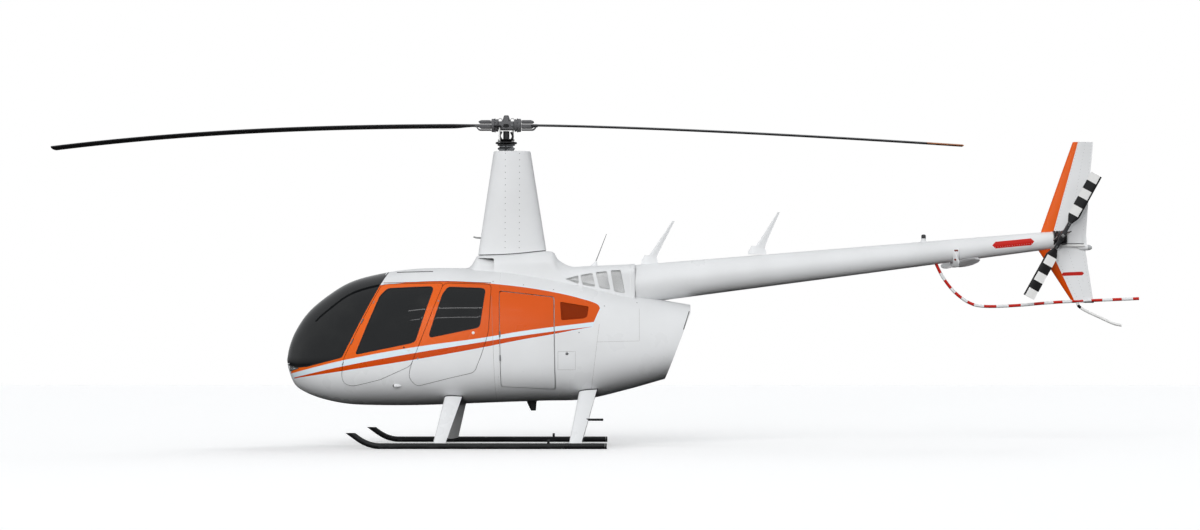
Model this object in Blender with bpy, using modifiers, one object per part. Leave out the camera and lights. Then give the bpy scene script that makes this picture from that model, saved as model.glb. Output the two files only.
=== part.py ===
"""Light turbine helicopter: five seats, two-blade teetering rotor, two-blade tail rotor, fixed skids.

Metres, +Z up. The nose points to -X, the left side to -Y. The skids stand on Z = 0.
"""

import math

import bmesh
import bpy
import numpy as np
from mathutils import Matrix, Vector

# Driving dimensions
ROTOR_RADIUS = 4.935
ROTOR_AXIS_X = -0.952
ROTOR_HEIGHT = 3.464
BLADE_CHORD = 0.257
BLADE_THICKNESS = 0.034
TAIL_ROTOR_RADIUS = 0.752
TAIL_ROTOR_CENTRE = Vector((5.014, -0.31, 2.248))
TAIL_ROTOR_TILT = 29.2  # degrees from upright, seen from the left
SKID_HALF_TREAD = 1.12
SKID_RADIUS = 0.0305  # and the height of the skids' centre lines
SKID_TOP = 0.166  # level of their flat-cut front ends
FIREWALL_X = -1.0
HULL_REAR_X = 1.06
SHUT_GAP = 0.008  # round every door
SEAT_GAP = 0.0004  # where one piece rests on another
GLASS_SINK = 0.002
GLASS_THICKNESS = 0.007
DOOR_THICKNESS = 0.026
FRAME_SINK = 0.040  # outer face of the door frames, below the hull's skin
WALL = 0.055
COWL_WALL = 0.022

# Hull sections from nose to tail. height_wide is where the section is widest, and the two
# powers shape it above and below that height: 2 is an ellipse and more is boxier.
HULL_COLUMNS = ("x", "half_width", "top", "bottom", "height_wide", "power_up", "power_down")
HULL_SECTIONS = (
    (-3.317, 0.020, 0.935, 0.905, 0.920, 2.0, 2.0),
    (-3.290, 0.120, 1.072, 0.791, 0.905, 2.0, 2.0),
    (-3.225, 0.215, 1.235, 0.650, 0.890, 2.0, 2.1),
    (-3.095, 0.340, 1.429, 0.564, 0.880, 2.0, 2.2),
    (-2.900, 0.465, 1.600, 0.495, 0.880, 2.05, 2.3),
    (-2.640, 0.580, 1.760, 0.447, 0.890, 2.1, 2.4),
    (-2.316, 0.665, 1.852, 0.434, 0.900, 2.2, 2.5),
    (-1.926, 0.720, 1.906, 0.434, 0.920, 2.35, 2.6),
    (-1.500, 0.738, 1.913, 0.447, 0.930, 2.45, 2.6),
    (-1.017, 0.732, 1.900, 0.466, 0.940, 2.45, 2.6),
    (-0.550, 0.702, 1.840, 0.482, 0.950, 2.4, 2.5),
    (-0.100, 0.640, 1.760, 0.498, 0.960, 2.3, 2.4),
    (0.350, 0.545, 1.642, 0.600, 0.990, 2.2, 2.3),
    (0.758, 0.450, 1.566, 0.715, 1.040, 2.1, 2.2),
    (1.060, 0.375, 1.515, 0.800, 1.080, 2.0, 2.1),
)
RING_POINTS = 28

# Side-view outlines, as (x, z)
FRONT_DOOR = (
    (-2.258, 1.730), (-2.646, 0.937), (-2.671, 0.740), (-2.640, 0.667), (-2.553, 0.642),
    (-2.252, 0.712), (-1.924, 0.859), (-1.821, 1.121), (-1.699, 1.449), (-1.591, 1.739),
)
REAR_DOOR = (
    (-1.591, 1.739), (-1.699, 1.449), (-1.821, 1.121), (-1.924, 0.859), (-1.949, 0.736),
    (-1.866, 0.642), (-1.512, 0.731), (-1.252, 0.790), (-1.182, 0.968), (-1.105, 1.216),
    (-1.085, 1.725),
)
FRONT_WINDOW = (
    (-2.190, 1.682), (-2.267, 1.606), (-2.517, 0.980), (-1.924, 1.099), (-1.877, 1.121),
    (-1.702, 1.674), (-1.722, 1.700),
)
REAR_WINDOW = (
    (-1.543, 1.695), (-1.596, 1.621), (-1.730, 1.185), (-1.715, 1.160), (-1.221, 1.262),
    (-1.198, 1.285), (-1.148, 1.660), (-1.177, 1.681),
)
WINDSHIELD = (
    (-2.218, 1.850), (-2.284, 1.718), (-2.347, 1.590), (-2.668, 0.949), (-2.925, 0.886), (-3.055, 0.853),
    (-3.180, 0.841), (-3.295, 0.868), (-3.600, 0.900), (-3.600, 2.200), (-2.218, 2.200),
)
BAGGAGE_DOOR = ((-1.000, 1.655), (-0.975, 0.640), (-0.400, 0.610), (-0.418, 1.590))
SIDE_SCREEN = ((-0.356, 1.539), (-0.340, 1.340), (-0.104, 1.360), (-0.067, 1.382), (-0.052, 1.488))
COWL_VENTS = (
    ((-0.306, 1.788), (-0.163, 1.733), (-0.163, 1.827)),
    ((-0.144, 1.831), (-0.014, 1.852), (0.015, 1.703), (-0.118, 1.722)),
    ((0.020, 1.861), (0.139, 1.873), (0.176, 1.673), (0.060, 1.692)),
    ((0.179, 1.880), (0.288, 1.886), (0.334, 1.634), (0.220, 1.652)),
)
VENT_FIELD = ((-0.320, 1.79), (-0.165, 1.720), (0.350, 1.618), (0.350, 1.900), (-0.180, 1.845))
COWL_SCOOP = ((-1.300, 1.893), (-1.072, 1.880), (-1.072, 2.012), (-1.300, 2.018))
SCOOP_FRONT_X = -1.262
SCOOP_DEPTH = 0.015  # at its rear lip
COWL_REAR_CUT = ((1.046, 1.700), (1.037, 1.429), (0.763, 0.716), (0.640, 0.395), (2.0, 0.30), (2.0, 1.70))
UPPER_FIN_ROWS = (  # height, leading edge, trailing edge
    (2.150, 4.815, 5.330), (2.317, 4.838, 5.325), (2.900, 5.047, 5.370), (3.280, 5.184, 5.406),
)
LOWER_FIN_ROWS = (
    (1.538, 5.168, 5.400), (1.570, 5.152, 5.396), (2.100, 4.808, 5.315), (2.1496, 4.790, 5.310),
)
STABILIZER_ROWS = ((0.0294, 5.06, 5.30), (0.55, 5.08, 5.30))  # distance from the middle, leading, trailing
STABILIZER_HEIGHT = 2.172
FIN_THICKNESS = 0.055
STABILIZER_THICKNESS = 0.030
GUARD_LINE = (
    (3.68, 0, 2.00), (3.777, 0, 1.808), (3.907, 0, 1.646), (4.069, 0, 1.533), (4.232, 0, 1.500),
    (4.556, 0, 1.509), (5.043, 0, 1.547), (5.887, 0, 1.584),
)
TAIL_SKID_LINE = ((5.20, 0, 1.60), (5.24, 0, 1.50), (5.314, 0, 1.451), (5.606, 0, 1.316), (5.698, 0, 1.294))
FIN_FOOT = 1.538  # lower end of the lower fin, where the tail skid meets it
CABIN_FLOOR = 0.575
FRONT_SEAT_SIDE = (
    (-2.24, 0), (-1.80, 0), (-1.80, 0.80), (-1.66, 1.42), (-1.76, 1.44), (-1.90, 0.93), (-2.26, 0.96),
)
REAR_SEAT_SIDE = ((-1.56, 0), (-1.10, 0), (-1.075, 1.45), (-1.16, 1.46), (-1.20, 0.95), (-1.56, 0.97))
PANEL_SIDE = ((-3.00, 0), (-2.80, 0), (-2.74, 0.80), (-2.70, 1.16), (-2.78, 1.20), (-3.00, 0.95))
COMM_ANTENNA = ((0.54, 1.90), (0.66, 1.90), (0.875, 2.42), (0.845, 2.425))
LOCATOR_ANTENNA = ((1.68, 2.00), (1.82, 2.00), (2.015, 2.515), (1.985, 2.522))
BELLY_ANTENNA = ((-0.730, 0.52), (-0.620, 0.52), (-0.628, 0.374), (-0.680, 0.374))
CENTRE_POST_HALF = 0.022
GEARBOX_LOW = Vector((4.955, -0.16, 2.15))
GEARBOX_HIGH = Vector((5.125, 0.029, 2.325))
GUARD_RADIUS = 0.0165
TAIL_SHAFT_RADIUS = 0.022
SHAFT_GAP = 0.0006
FRAME_WIDTH = 0.045  # of the door frames inside the shut line
FRAME_NARROW = 0.012  # of the frames where a door's edge swings in over them
FRONT_STOP = ((-1.830, 1.20), (-1.798, 1.20), (-1.761, 1.30), (-1.793, 1.30))
REAR_STOP = ((-1.145, 1.25), (-1.114, 1.25), (-1.110, 1.35), (-1.141, 1.35))
HINGE_SHARES = (0.27, 0.54)  # of the way up a hinge line, where it meets the skin
NOTCH_GAP = 0.0008
HINGE_RADIUS = 0.0085
HINGE_LENGTH = 0.06
BAGGAGE_GAPS = (0.004, 0.004, 0.008, 0.006)  # shut line to door edge: front, bottom, rear, top
BAY_FLOOR = 0.662
SCREEN_SINK = 0.006
SCREEN_THICKNESS = 0.005
UPPER_COWL_WALL = 0.020
EXHAUST_RADIUS = 0.14
EXHAUST_HEIGHT = 0.975
EXHAUST_FALL = 0.09  # for each metre aft
EXHAUST_WALL = 0.006
EXHAUST_RECESS = 0.008  # from the rear face of the cowl in to the end of the pipe
DOOR_ROUNDING = 0.05
OPENING_ROUNDING = 0.04
PANE_ROUNDING = 0.03

# Door hinge lines on the right side, each as a low and a high point. A line touches the skin
# where the door's front edge bulges most, so the rest of that edge swings clear inside it.
FRONT_HINGE = (Vector((-2.662, 0.609, 0.90)), Vector((-2.271, 0.545, 1.70)))
REAR_HINGE = (Vector((-1.920, 0.747, 0.87)), Vector((-1.594, 0.660, 1.74)))
BAGGAGE_HINGE = (Vector((-0.9760, 0.748, 0.69)), Vector((-0.9955, 0.692, 1.62)))
STOP_DEPTH = 0.0007  # between a shut door and the pad that it rests on

# Upper cowl over the gearbox, as rows of x, crest height and half width
UPPER_COWL_SECTIONS = (
    (-1.429, 1.906, 0.140),
    (-1.350, 1.924, 0.192),
    (-1.303, 1.973, 0.222),
    (-1.272, 2.036, 0.238),
    (-1.200, 2.056, 0.262),
    (-0.850, 2.078, 0.290),
    (-0.476, 2.096, 0.300),
    (-0.411, 2.030, 0.302),
    (-0.346, 1.976, 0.302),
    (-0.238, 1.930, 0.298),
    (-0.087, 1.935, 0.285),
    (0.200, 1.947, 0.250),
    (0.440, 1.957, 0.219),
)
UPPER_COWL_FOOT = 1.30

# Mast fairing: its plan narrows evenly from a low level to a high one
FAIRING_LOW = 2.06
FAIRING_HIGH = 3.168
FAIRING_FRONT = (-1.254, -1.090)
FAIRING_REAR = (-0.509, -0.687)
FAIRING_FOOT = 2.00
FAIRING_TOP = 3.180
FAIRING_THICKNESS = (0.30, 0.22)
FAIRING_WALL = 0.012

HUB_HALF_LENGTH = 0.085
HUB_TOP = 3.573
MAST_RADIUS = 0.034
BLADE_ROOT_REACH = 0.27
BLADE_FULL_REACH = 0.60  # where a main blade has its full chord
BLADE_PITCH = math.radians(4)
LINK_OUT = (0.07, 0.086)  # of each pitch link from the mast, along and across the helicopter
HORN_HEIGHT = 3.44
TAIL_BLADE_ROOT = 0.1604
TAIL_BLADE_CHORD = 0.127
TAIL_BLADE_THICKNESS = 0.016

# Boom centre line and radii
BOOM_FRONT = Vector((0.446, 0.0, 1.738))
BOOM_REAR = Vector((5.030, 0.0, 2.224))
BOOM_FRONT_RADIUS = 0.210
BOOM_REAR_RADIUS = 0.092

# Navigation antenna: the middle of its saddle's foot, and the tip of each paddle
NAV_ROOT = Vector((3.892, 0.0, 1.938))
NAV_PADDLES = (  # side, tip, and how far its rear edge turns up
    ("left", Vector((4.120, -0.36, 1.999)), math.radians(-35)),
    ("right", Vector((3.800, 0.30, 1.965)), math.radians(40)),
)
NAV_CHORD = 0.115
NAV_THICKNESS = 0.014

COLLECTION = bpy.data.collections.new("helicopter")
CUTTERS = bpy.data.collections.new("cutters")


def clear_scene():
    for item in list(bpy.data.objects):
        bpy.data.objects.remove(item, do_unlink=True)
    bpy.context.scene.collection.children.link(COLLECTION)
    bpy.context.scene.collection.children.link(CUTTERS)


def material(name, colour, roughness, metallic=0.0):
    found = bpy.data.materials.get(name)
    if found:
        return found
    made = bpy.data.materials.new(name)
    made.use_nodes = True
    shader = made.node_tree.nodes["Principled BSDF"]
    shader.inputs["Base Color"].default_value = (*colour, 1.0)
    shader.inputs["Roughness"].default_value = roughness
    shader.inputs["Metallic"].default_value = metallic
    return made


def white_paint():
    return material("white_paint", (0.72, 0.73, 0.74), 0.25)


def orange_paint():
    return material("orange_paint", (0.69, 0.13, 0.014), 0.3)


def dark_paint():
    return material("dark_paint", (0.02, 0.02, 0.022), 0.4)


def blade_paint():
    return material("blade_paint", (0.05, 0.05, 0.055), 0.45)


def bare_steel():
    return material("bare_steel", (0.45, 0.46, 0.47), 0.35, 1.0)


def tinted_glass():
    return material("tinted_glass", (0.03, 0.035, 0.04), 0.05)


def seat_leather():
    return material("seat_leather", (0.10, 0.09, 0.085), 0.6)


def dark_plastic():
    return material("dark_plastic", (0.03, 0.03, 0.03), 0.6)


def guard_paint():
    return material("guard_paint", (0.55, 0.03, 0.02), 0.4)


def lamp_lens():
    return material("lamp_lens", (0.5, 0.02, 0.01), 0.1)


def add_object(name, bm, finish=None):
    """A mesh object from bm in the helicopter's collection, or a cutter when no finish is given."""
    bmesh.ops.recalc_face_normals(bm, faces=bm.faces)
    mesh = bpy.data.meshes.new(name)
    bm.to_mesh(mesh)
    bm.free()
    made = bpy.data.objects.new(name, mesh)
    if finish:
        mesh.materials.append(finish)
        COLLECTION.objects.link(made)
        mesh.shade_smooth()
        mesh.set_sharp_from_angle(angle=math.radians(35))
    else:
        CUTTERS.objects.link(made)
        made.hide_render = True
        made.display_type = "WIRE"
    return made


def set_origin(piece, place):
    """Moves the piece's origin to place and leaves its shape where it is."""
    piece.data.transform(Matrix.Translation(-Vector(place)))
    piece.location = Vector(place)


def boolean(piece, cutter, operation="DIFFERENCE"):
    modifier = piece.modifiers.new(f"{operation.lower()}_{cutter.name}", "BOOLEAN")
    modifier.operation = operation
    modifier.object = cutter
    modifier.solver = "EXACT"


def loft(name, rings, finish=None):
    """A closed solid through rings of equal length, with its first and last ring capped.

    Each patch is split along a diagonal chosen by its place, so that two lofts with the same
    stations but different insets never cross."""
    bm = bmesh.new()
    rows = [[bm.verts.new(point) for point in ring] for ring in rings]
    count = len(rows[0])
    for row, after in zip(rows, rows[1:]):
        for i in range(count):
            j = (i + 1) % count
            low_side = rings[0][i][1] + rings[0][j][1] < 0
            if low_side:
                bm.faces.new((row[i], row[j], after[i]))
                bm.faces.new((row[j], after[j], after[i]))
            else:
                bm.faces.new((row[i], row[j], after[j]))
                bm.faces.new((row[i], after[j], after[i]))
    bm.faces.new(rows[0])
    bm.faces.new(rows[-1])
    return add_object(name, bm, finish)


def prism(name, outline, start, end, finish=None, axis="Y"):
    """A flat outline pulled from start to end: an (x, z) outline along Y, or an (x, y) one along Z."""
    bm = bmesh.new()
    if axis == "Y":
        verts = [bm.verts.new((x, start, z)) for x, z in outline]
        pull = Vector((0, end - start, 0))
    else:
        verts = [bm.verts.new((x, y, start)) for x, y in outline]
        pull = Vector((0, 0, end - start))
    face = bm.faces.new(verts)
    pulled = bmesh.ops.extrude_face_region(bm, geom=[face])
    moved = [item for item in pulled["geom"] if isinstance(item, bmesh.types.BMVert)]
    bmesh.ops.translate(bm, verts=moved, vec=pull)
    return add_object(name, bm, finish)


def box(name, low, high, finish=None, bevel=0.0):
    bm = bmesh.new()
    bmesh.ops.create_cube(bm, size=1.0)
    low, high = Vector(low), Vector(high)
    size = high - low
    bmesh.ops.scale(bm, vec=size, verts=bm.verts)
    bmesh.ops.translate(bm, vec=(low + high) / 2, verts=bm.verts)
    made = add_object(name, bm, finish)
    if bevel:
        rounding = made.modifiers.new("rounding", "BEVEL")
        rounding.width = bevel
        rounding.segments = 2
    return made


def rod(name, start, end, radius, finish=None, end_radius=None, sides=24):
    """A round bar, or a cone where end_radius differs, between two points."""
    start, end = Vector(start), Vector(end)
    bm = bmesh.new()
    along = end - start
    turn = along.to_track_quat("Z", "Y").to_matrix().to_4x4()
    place = Matrix.Translation((start + end) / 2) @ turn
    second = radius if end_radius is None else end_radius
    bmesh.ops.create_cone(
        bm, cap_ends=True, segments=sides, radius1=radius, radius2=second, depth=along.length, matrix=place
    )
    return add_object(name, bm, finish)


def tube(name, points, radius, finish=None, resolution=2, spline="POLY"):
    """A bent bar along points, from a bevelled curve made into a mesh with welded caps."""
    curve = bpy.data.curves.new(name, "CURVE")
    curve.dimensions = "3D"
    curve.bevel_depth = radius
    curve.bevel_resolution = resolution
    curve.use_fill_caps = True
    curve.resolution_u = 4
    line = curve.splines.new(spline)
    if spline == "POLY":
        line.points.add(len(points) - 1)
        for knot, point in zip(line.points, points):
            knot.co = (*point, 1.0)
    else:
        line.bezier_points.add(len(points) - 1)
        for knot, point in zip(line.bezier_points, points):
            knot.co = point
            knot.handle_left_type = knot.handle_right_type = "AUTO"
    guide = bpy.data.objects.new(name + "_guide", curve)
    COLLECTION.objects.link(guide)
    bpy.context.view_layer.update()
    evaluated = guide.evaluated_get(bpy.context.evaluated_depsgraph_get())
    mesh = bpy.data.meshes.new_from_object(evaluated)
    bpy.data.objects.remove(guide, do_unlink=True)
    bm = bmesh.new()
    bm.from_mesh(mesh)
    bpy.data.meshes.remove(mesh)
    bmesh.ops.remove_doubles(bm, verts=bm.verts, dist=0.00005)
    return add_object(name, bm, finish)


def arc_corners(points, radius, steps=3):
    """Points of a bent bar with each inner corner replaced by a short round of the given radius."""
    points = [Vector(point) for point in points]
    made = [points[0]]
    for before, corner, after in zip(points, points[1:], points[2:]):
        back = (before - corner).normalized() * radius
        ahead = (after - corner).normalized() * radius
        for step in range(steps + 1):
            t = step / steps
            first = corner + back * (1 - t)
            second = corner + ahead * t
            made.append(first.lerp(second, t))
    made.append(points[-1])
    return made


def grown(outline, distance):
    """The outline with every side moved outwards by distance, or inwards when it is negative.

    A list of distances gives each side its own, from the side that follows the first corner."""
    count = len(outline)
    moves = distance if isinstance(distance, (list, tuple)) else [distance] * count
    area = sum(x0 * z1 - x1 * z0 for (x0, z0), (x1, z1) in zip(outline, outline[1:] + outline[:1]))
    side = 1 if area > 0 else -1
    made = []
    for i in range(count):
        before, here, after = (Vector(outline[(i + k) % count]) for k in (-1, 0, 1))
        first = (here - before).normalized()
        second = (after - here).normalized()
        first_out = Vector((first.y, -first.x)) * side
        second_out = Vector((second.y, -second.x)) * side
        turn = first_out.x * second_out.y - first_out.y * second_out.x
        move_first, move_second = moves[i - 1], moves[i]
        if abs(turn) < 0.05:
            made.append(tuple(here + (first_out + second_out).normalized() * (move_first + move_second) / 2))
            continue
        x = (move_first * second_out.y - move_second * first_out.y) / turn
        z = (move_second * first_out.x - move_first * second_out.x) / turn
        made.append((here.x + x, here.y + z))
    return tuple(made)


def rounded(outline, radius, steps=3):
    """The outline with its corners rounded, each by no more than 45 percent of its sides."""
    made = []
    count = len(outline)
    for i in range(count):
        before, here, after = (Vector(outline[(i + k) % count]) for k in (-1, 0, 1))
        reach_back = min(radius, 0.45 * (before - here).length)
        reach_on = min(radius, 0.45 * (after - here).length)
        back = here + (before - here).normalized() * reach_back
        on = here + (after - here).normalized() * reach_on
        for step in range(steps + 1):
            t = step / steps
            made.append(tuple(back.lerp(here, t).lerp(here.lerp(on, t), t)))
    return tuple(made)


def sampled(table, column, value, key=0):
    """One column of a table at a place along the key column, joined by Catmull-Rom arcs."""
    rows = np.array(table)
    place = position_in(rows[:, key], value)
    return spline_value(rows[:, column], place)


def spline_value(values, place):
    last = len(values) - 1
    i = min(int(place), last - 1)
    t = place - i
    p0 = values[i - 1] if i > 0 else 2 * values[0] - values[1]
    p1, p2 = values[i], values[i + 1]
    p3 = values[i + 2] if i + 2 <= last else 2 * values[last] - values[last - 1]
    return 0.5 * (
        2 * p1 + (p2 - p0) * t + (2 * p0 - 5 * p1 + 4 * p2 - p3) * t * t + (3 * p1 - p0 - 3 * p2 + p3) * t**3
    )


def position_in(keys, value):
    """Where value lies along the spline through keys, as a row number with a fraction."""
    low, high = 0.0, len(keys) - 1.0
    for _ in range(40):
        middle = (low + high) / 2
        if spline_value(keys, middle) < value:
            low = middle
        else:
            high = middle
    return (low + high) / 2


def super_arc(angle, half_width, up, down, power_up, power_down):
    """A point of a section that is rounder or boxier than an ellipse."""
    c, s = math.cos(angle), math.sin(angle)
    power = power_up if s >= 0 else power_down
    across = math.copysign(abs(c) ** (2 / power), c) * half_width
    height = math.copysign(abs(s) ** (2 / power), s) * (up if s >= 0 else down)
    return across, height


def hull_ring(x, inset=0.0, points=RING_POINTS):
    place = position_in(np.array([row[0] for row in HULL_SECTIONS]), x)
    values = {
        name: spline_value(np.array([row[i] for row in HULL_SECTIONS]), place)
        for i, name in enumerate(HULL_COLUMNS)
    }
    wide = values["height_wide"]
    half = max(values["half_width"] - inset, 0.004)
    up = max(values["top"] - inset - wide, 0.004)
    down = max(wide - values["bottom"] - inset, 0.004)
    ring = []
    for i in range(points):
        angle = 2 * math.pi * (i + 0.5) / points
        y, z = super_arc(angle, half, up, down, values["power_up"], values["power_down"])
        ring.append((x, y, wide + z))
    return ring


def cabin_stations():
    """Stations from the nose to the firewall, close together at the nose."""
    steps = 7
    length = NOSE_BACK_X - NOSE_X
    nose = [NOSE_X + length * (i / steps) ** 1.8 for i in range(steps)]
    return nose + [NOSE_BACK_X + (FIREWALL_X - NOSE_BACK_X) * i / 6 for i in range(7)]


def cowl_stations():
    start = FIREWALL_X + SEAT_GAP
    return [start + (HULL_REAR_X - start) * i / 8 for i in range(9)]


def hull_body(name, stations, inset=0.0, start=None, end=None):
    """The hull's form through stations, trimmed to run from start to end, as a solid.

    Bodies with other insets keep the same stations between, so that they stay parallel."""
    if start is not None:
        stations = [start] + [x for x in stations if x > start + 0.008]
    if end is not None:
        stations = [x for x in stations if x < end - 0.008] + [end]
    return loft(name, [hull_ring(x, inset) for x in stations])


def hull_cutters():
    """The whole outside of the cabin and of the rear cowl, a seating gap larger."""
    cabin = hull_body("cut_cabin_grown", cabin_stations(), -SEAT_GAP)
    ahead = [FIREWALL_X - 0.01]
    cowl = hull_body("cut_cowl_grown", ahead + cowl_stations(), -SEAT_GAP)
    return cabin, cowl


def seat_on(piece, *supports):
    """Trims the end of a piece so that it rests on its supports."""
    for support in supports:
        boolean(piece, support)


def copy_of(source, name, finish=None):
    made = bpy.data.objects.new(name, source.data.copy())
    made.data.name = name
    if finish:
        made.data.materials.clear()
        made.data.materials.append(finish)
        COLLECTION.objects.link(made)
        made.data.shade_smooth()
        made.data.set_sharp_from_angle(angle=math.radians(35))
    else:
        CUTTERS.objects.link(made)
        made.hide_render = True
        made.display_type = "WIRE"
    return made


SIDES = (("left", -1), ("right", 1))
NOSE_X = HULL_SECTIONS[0][0]
NOSE_BACK_X = -2.640


def side_prism(name, outline, side):
    start, end = sorted((0.10 * side, 1.30 * side))
    return prism(name, outline, start, end)


def knuckle(name, hinge, share, side, growth=0.0):
    """A short round bar on a hinge line, or the notch for it where growth is given."""
    low, high = (Vector((point.x, point.y * side, point.z)) for point in hinge)
    along = (high - low).normalized()
    middle = low.lerp(high, share)
    reach = along * (HINGE_LENGTH / 2 + growth)
    return rod(name, middle - reach, middle + reach, HINGE_RADIUS + growth, sides=12)


def add_knuckles(name, door, fixed, hinge, side):
    """Hinge knuckles on the door's front edge, which turn in notches of the fixed skins ahead."""
    for number, share in enumerate(HINGE_SHARES):
        boolean(door, knuckle(f"cut_knuckle_{name}_{number}", hinge, share, side), "UNION")
        notch = knuckle(f"cut_notch_{name}_{number}", hinge, share, side, NOTCH_GAP)
        for skin in fixed:
            boolean(skin, notch)


def build_cabin():
    """The cabin shell with its doors and panes, all cut from one hull surface."""
    stations = cabin_stations()
    skin = hull_body("cut_cabin_skin", stations)
    inside = hull_body("cut_cabin_inside", stations, WALL, NOSE_X + WALL, FIREWALL_X - WALL)
    door_inside = hull_body("cut_door_inside", stations, DOOR_THICKNESS, NOSE_X + DOOR_THICKNESS)
    stop_depth = DOOR_THICKNESS + STOP_DEPTH
    stop_face = hull_body("cut_stop_face", stations, stop_depth, NOSE_X + stop_depth)
    frame_face = hull_body("cut_frame_face", stations, FRAME_SINK, NOSE_X + FRAME_SINK)
    glass_out = hull_body("cut_glass_outside", stations, GLASS_SINK, NOSE_X + GLASS_SINK, FIREWALL_X - 0.02)
    glass_depth = GLASS_SINK + GLASS_THICKNESS
    glass_in = hull_body("cut_glass_inside", stations, glass_depth, NOSE_X + glass_depth)

    shell = copy_of(skin, "cabin_shell", white_paint())
    boolean(shell, inside)
    windshield = rounded(WINDSHIELD[:-3], PANE_ROUNDING) + WINDSHIELD[-3:]
    for label, side in SIDES:
        for place, outline, window, stop, hinge_sides in (
            ("front", FRONT_DOOR, FRONT_WINDOW, FRONT_STOP, 2),
            ("rear", REAR_DOOR, REAR_WINDOW, REAR_STOP, 4),
        ):
            name = f"{place}_{label}"
            outer = rounded(outline, DOOR_ROUNDING)
            recess = side_prism(f"cut_recess_{name}", grown(outer, SHUT_GAP / 2), side)
            boolean(recess, frame_face)
            pad = side_prism(f"cut_stop_{name}", stop, side)
            boolean(pad, stop_face, "INTERSECT")
            boolean(recess, pad)
            boolean(shell, recess)
            wide_sides = len(outline) - hinge_sides - 1
            frame_widths = [-FRAME_NARROW] * hinge_sides + [-FRAME_WIDTH] * wide_sides + [-FRAME_NARROW]
            inner = rounded(grown(outline, frame_widths), OPENING_ROUNDING)
            opening = side_prism(f"cut_opening_{name}", inner, side)
            boolean(shell, opening)
            door = copy_of(skin, f"door_{name}", white_paint())
            boolean(door, door_inside)
            panel = side_prism(f"cut_door_{name}", grown(outer, -SHUT_GAP / 2), side)
            boolean(door, panel, "INTERSECT")
            pane_line = rounded(window, PANE_ROUNDING)
            boolean(door, side_prism(f"cut_window_{name}", grown(pane_line, SEAT_GAP), side))
            if place == "front":
                add_knuckles(name, door, [shell], FRONT_HINGE, side)
            pane = copy_of(glass_out, f"window_{name}", tinted_glass())
            boolean(pane, glass_in)
            boolean(pane, side_prism(f"cut_pane_{name}", pane_line, side), "INTERSECT")
        near, far = sorted((CENTRE_POST_HALF * side, 1.3 * side))
        opening = prism(
            f"cut_windshield_opening_{label}", grown(windshield, SEAT_GAP), near - SEAT_GAP, far + SEAT_GAP
        )
        boolean(shell, opening)
        pane = copy_of(glass_out, f"windshield_{label}", tinted_glass())
        boolean(pane, glass_in)
        boolean(pane, prism(f"cut_windshield_{label}", windshield, near, far), "INTERSECT")
    return shell


def standing(outline, level):
    """The outline with its lowest corners, which are given as 0, moved up to the level."""
    return tuple((x, z if z else level) for x, z in outline)


def build_cabin_inside():
    rear = FIREWALL_X - WALL
    floor = box("cabin_floor", (-3.0, -0.66, 0.40), (rear - 0.002, 0.66, CABIN_FLOOR), dark_plastic())
    room = hull_body("cut_room", cabin_stations(), WALL + SEAT_GAP, NOSE_X + WALL, rear)
    boolean(floor, room, "INTERSECT")
    top = CABIN_FLOOR + SEAT_GAP
    seat_side = rounded(standing(FRONT_SEAT_SIDE, top), 0.04, 2)
    for label, side in SIDES:
        y_low, y_high = sorted((0.06 * side, 0.55 * side))
        seat = prism(f"seat_front_{label}", seat_side, y_low, y_high, seat_leather())
        boolean(seat, room, "INTERSECT")
    bench = prism("seat_rear", rounded(standing(REAR_SEAT_SIDE, top), 0.04, 2), -0.58, 0.58, seat_leather())
    boolean(bench, room, "INTERSECT")
    panel_side = rounded(standing(PANEL_SIDE, top), 0.02, 2)
    panel = prism("instrument_panel", panel_side, -0.14, 0.14, dark_plastic())
    boolean(panel, room, "INTERSECT")
    stick_line = ((-2.47, 0.0, top), (-2.47, 0.0, 1.02), (-2.40, -0.10, 1.12), (-2.40, -0.34, 1.12))
    tube("cyclic_control", arc_corners(stick_line, 0.03), 0.014, dark_plastic())


def exhaust_point(x):
    return Vector((x, 0.0, EXHAUST_HEIGHT - EXHAUST_FALL * (x - 0.5)))


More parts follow.
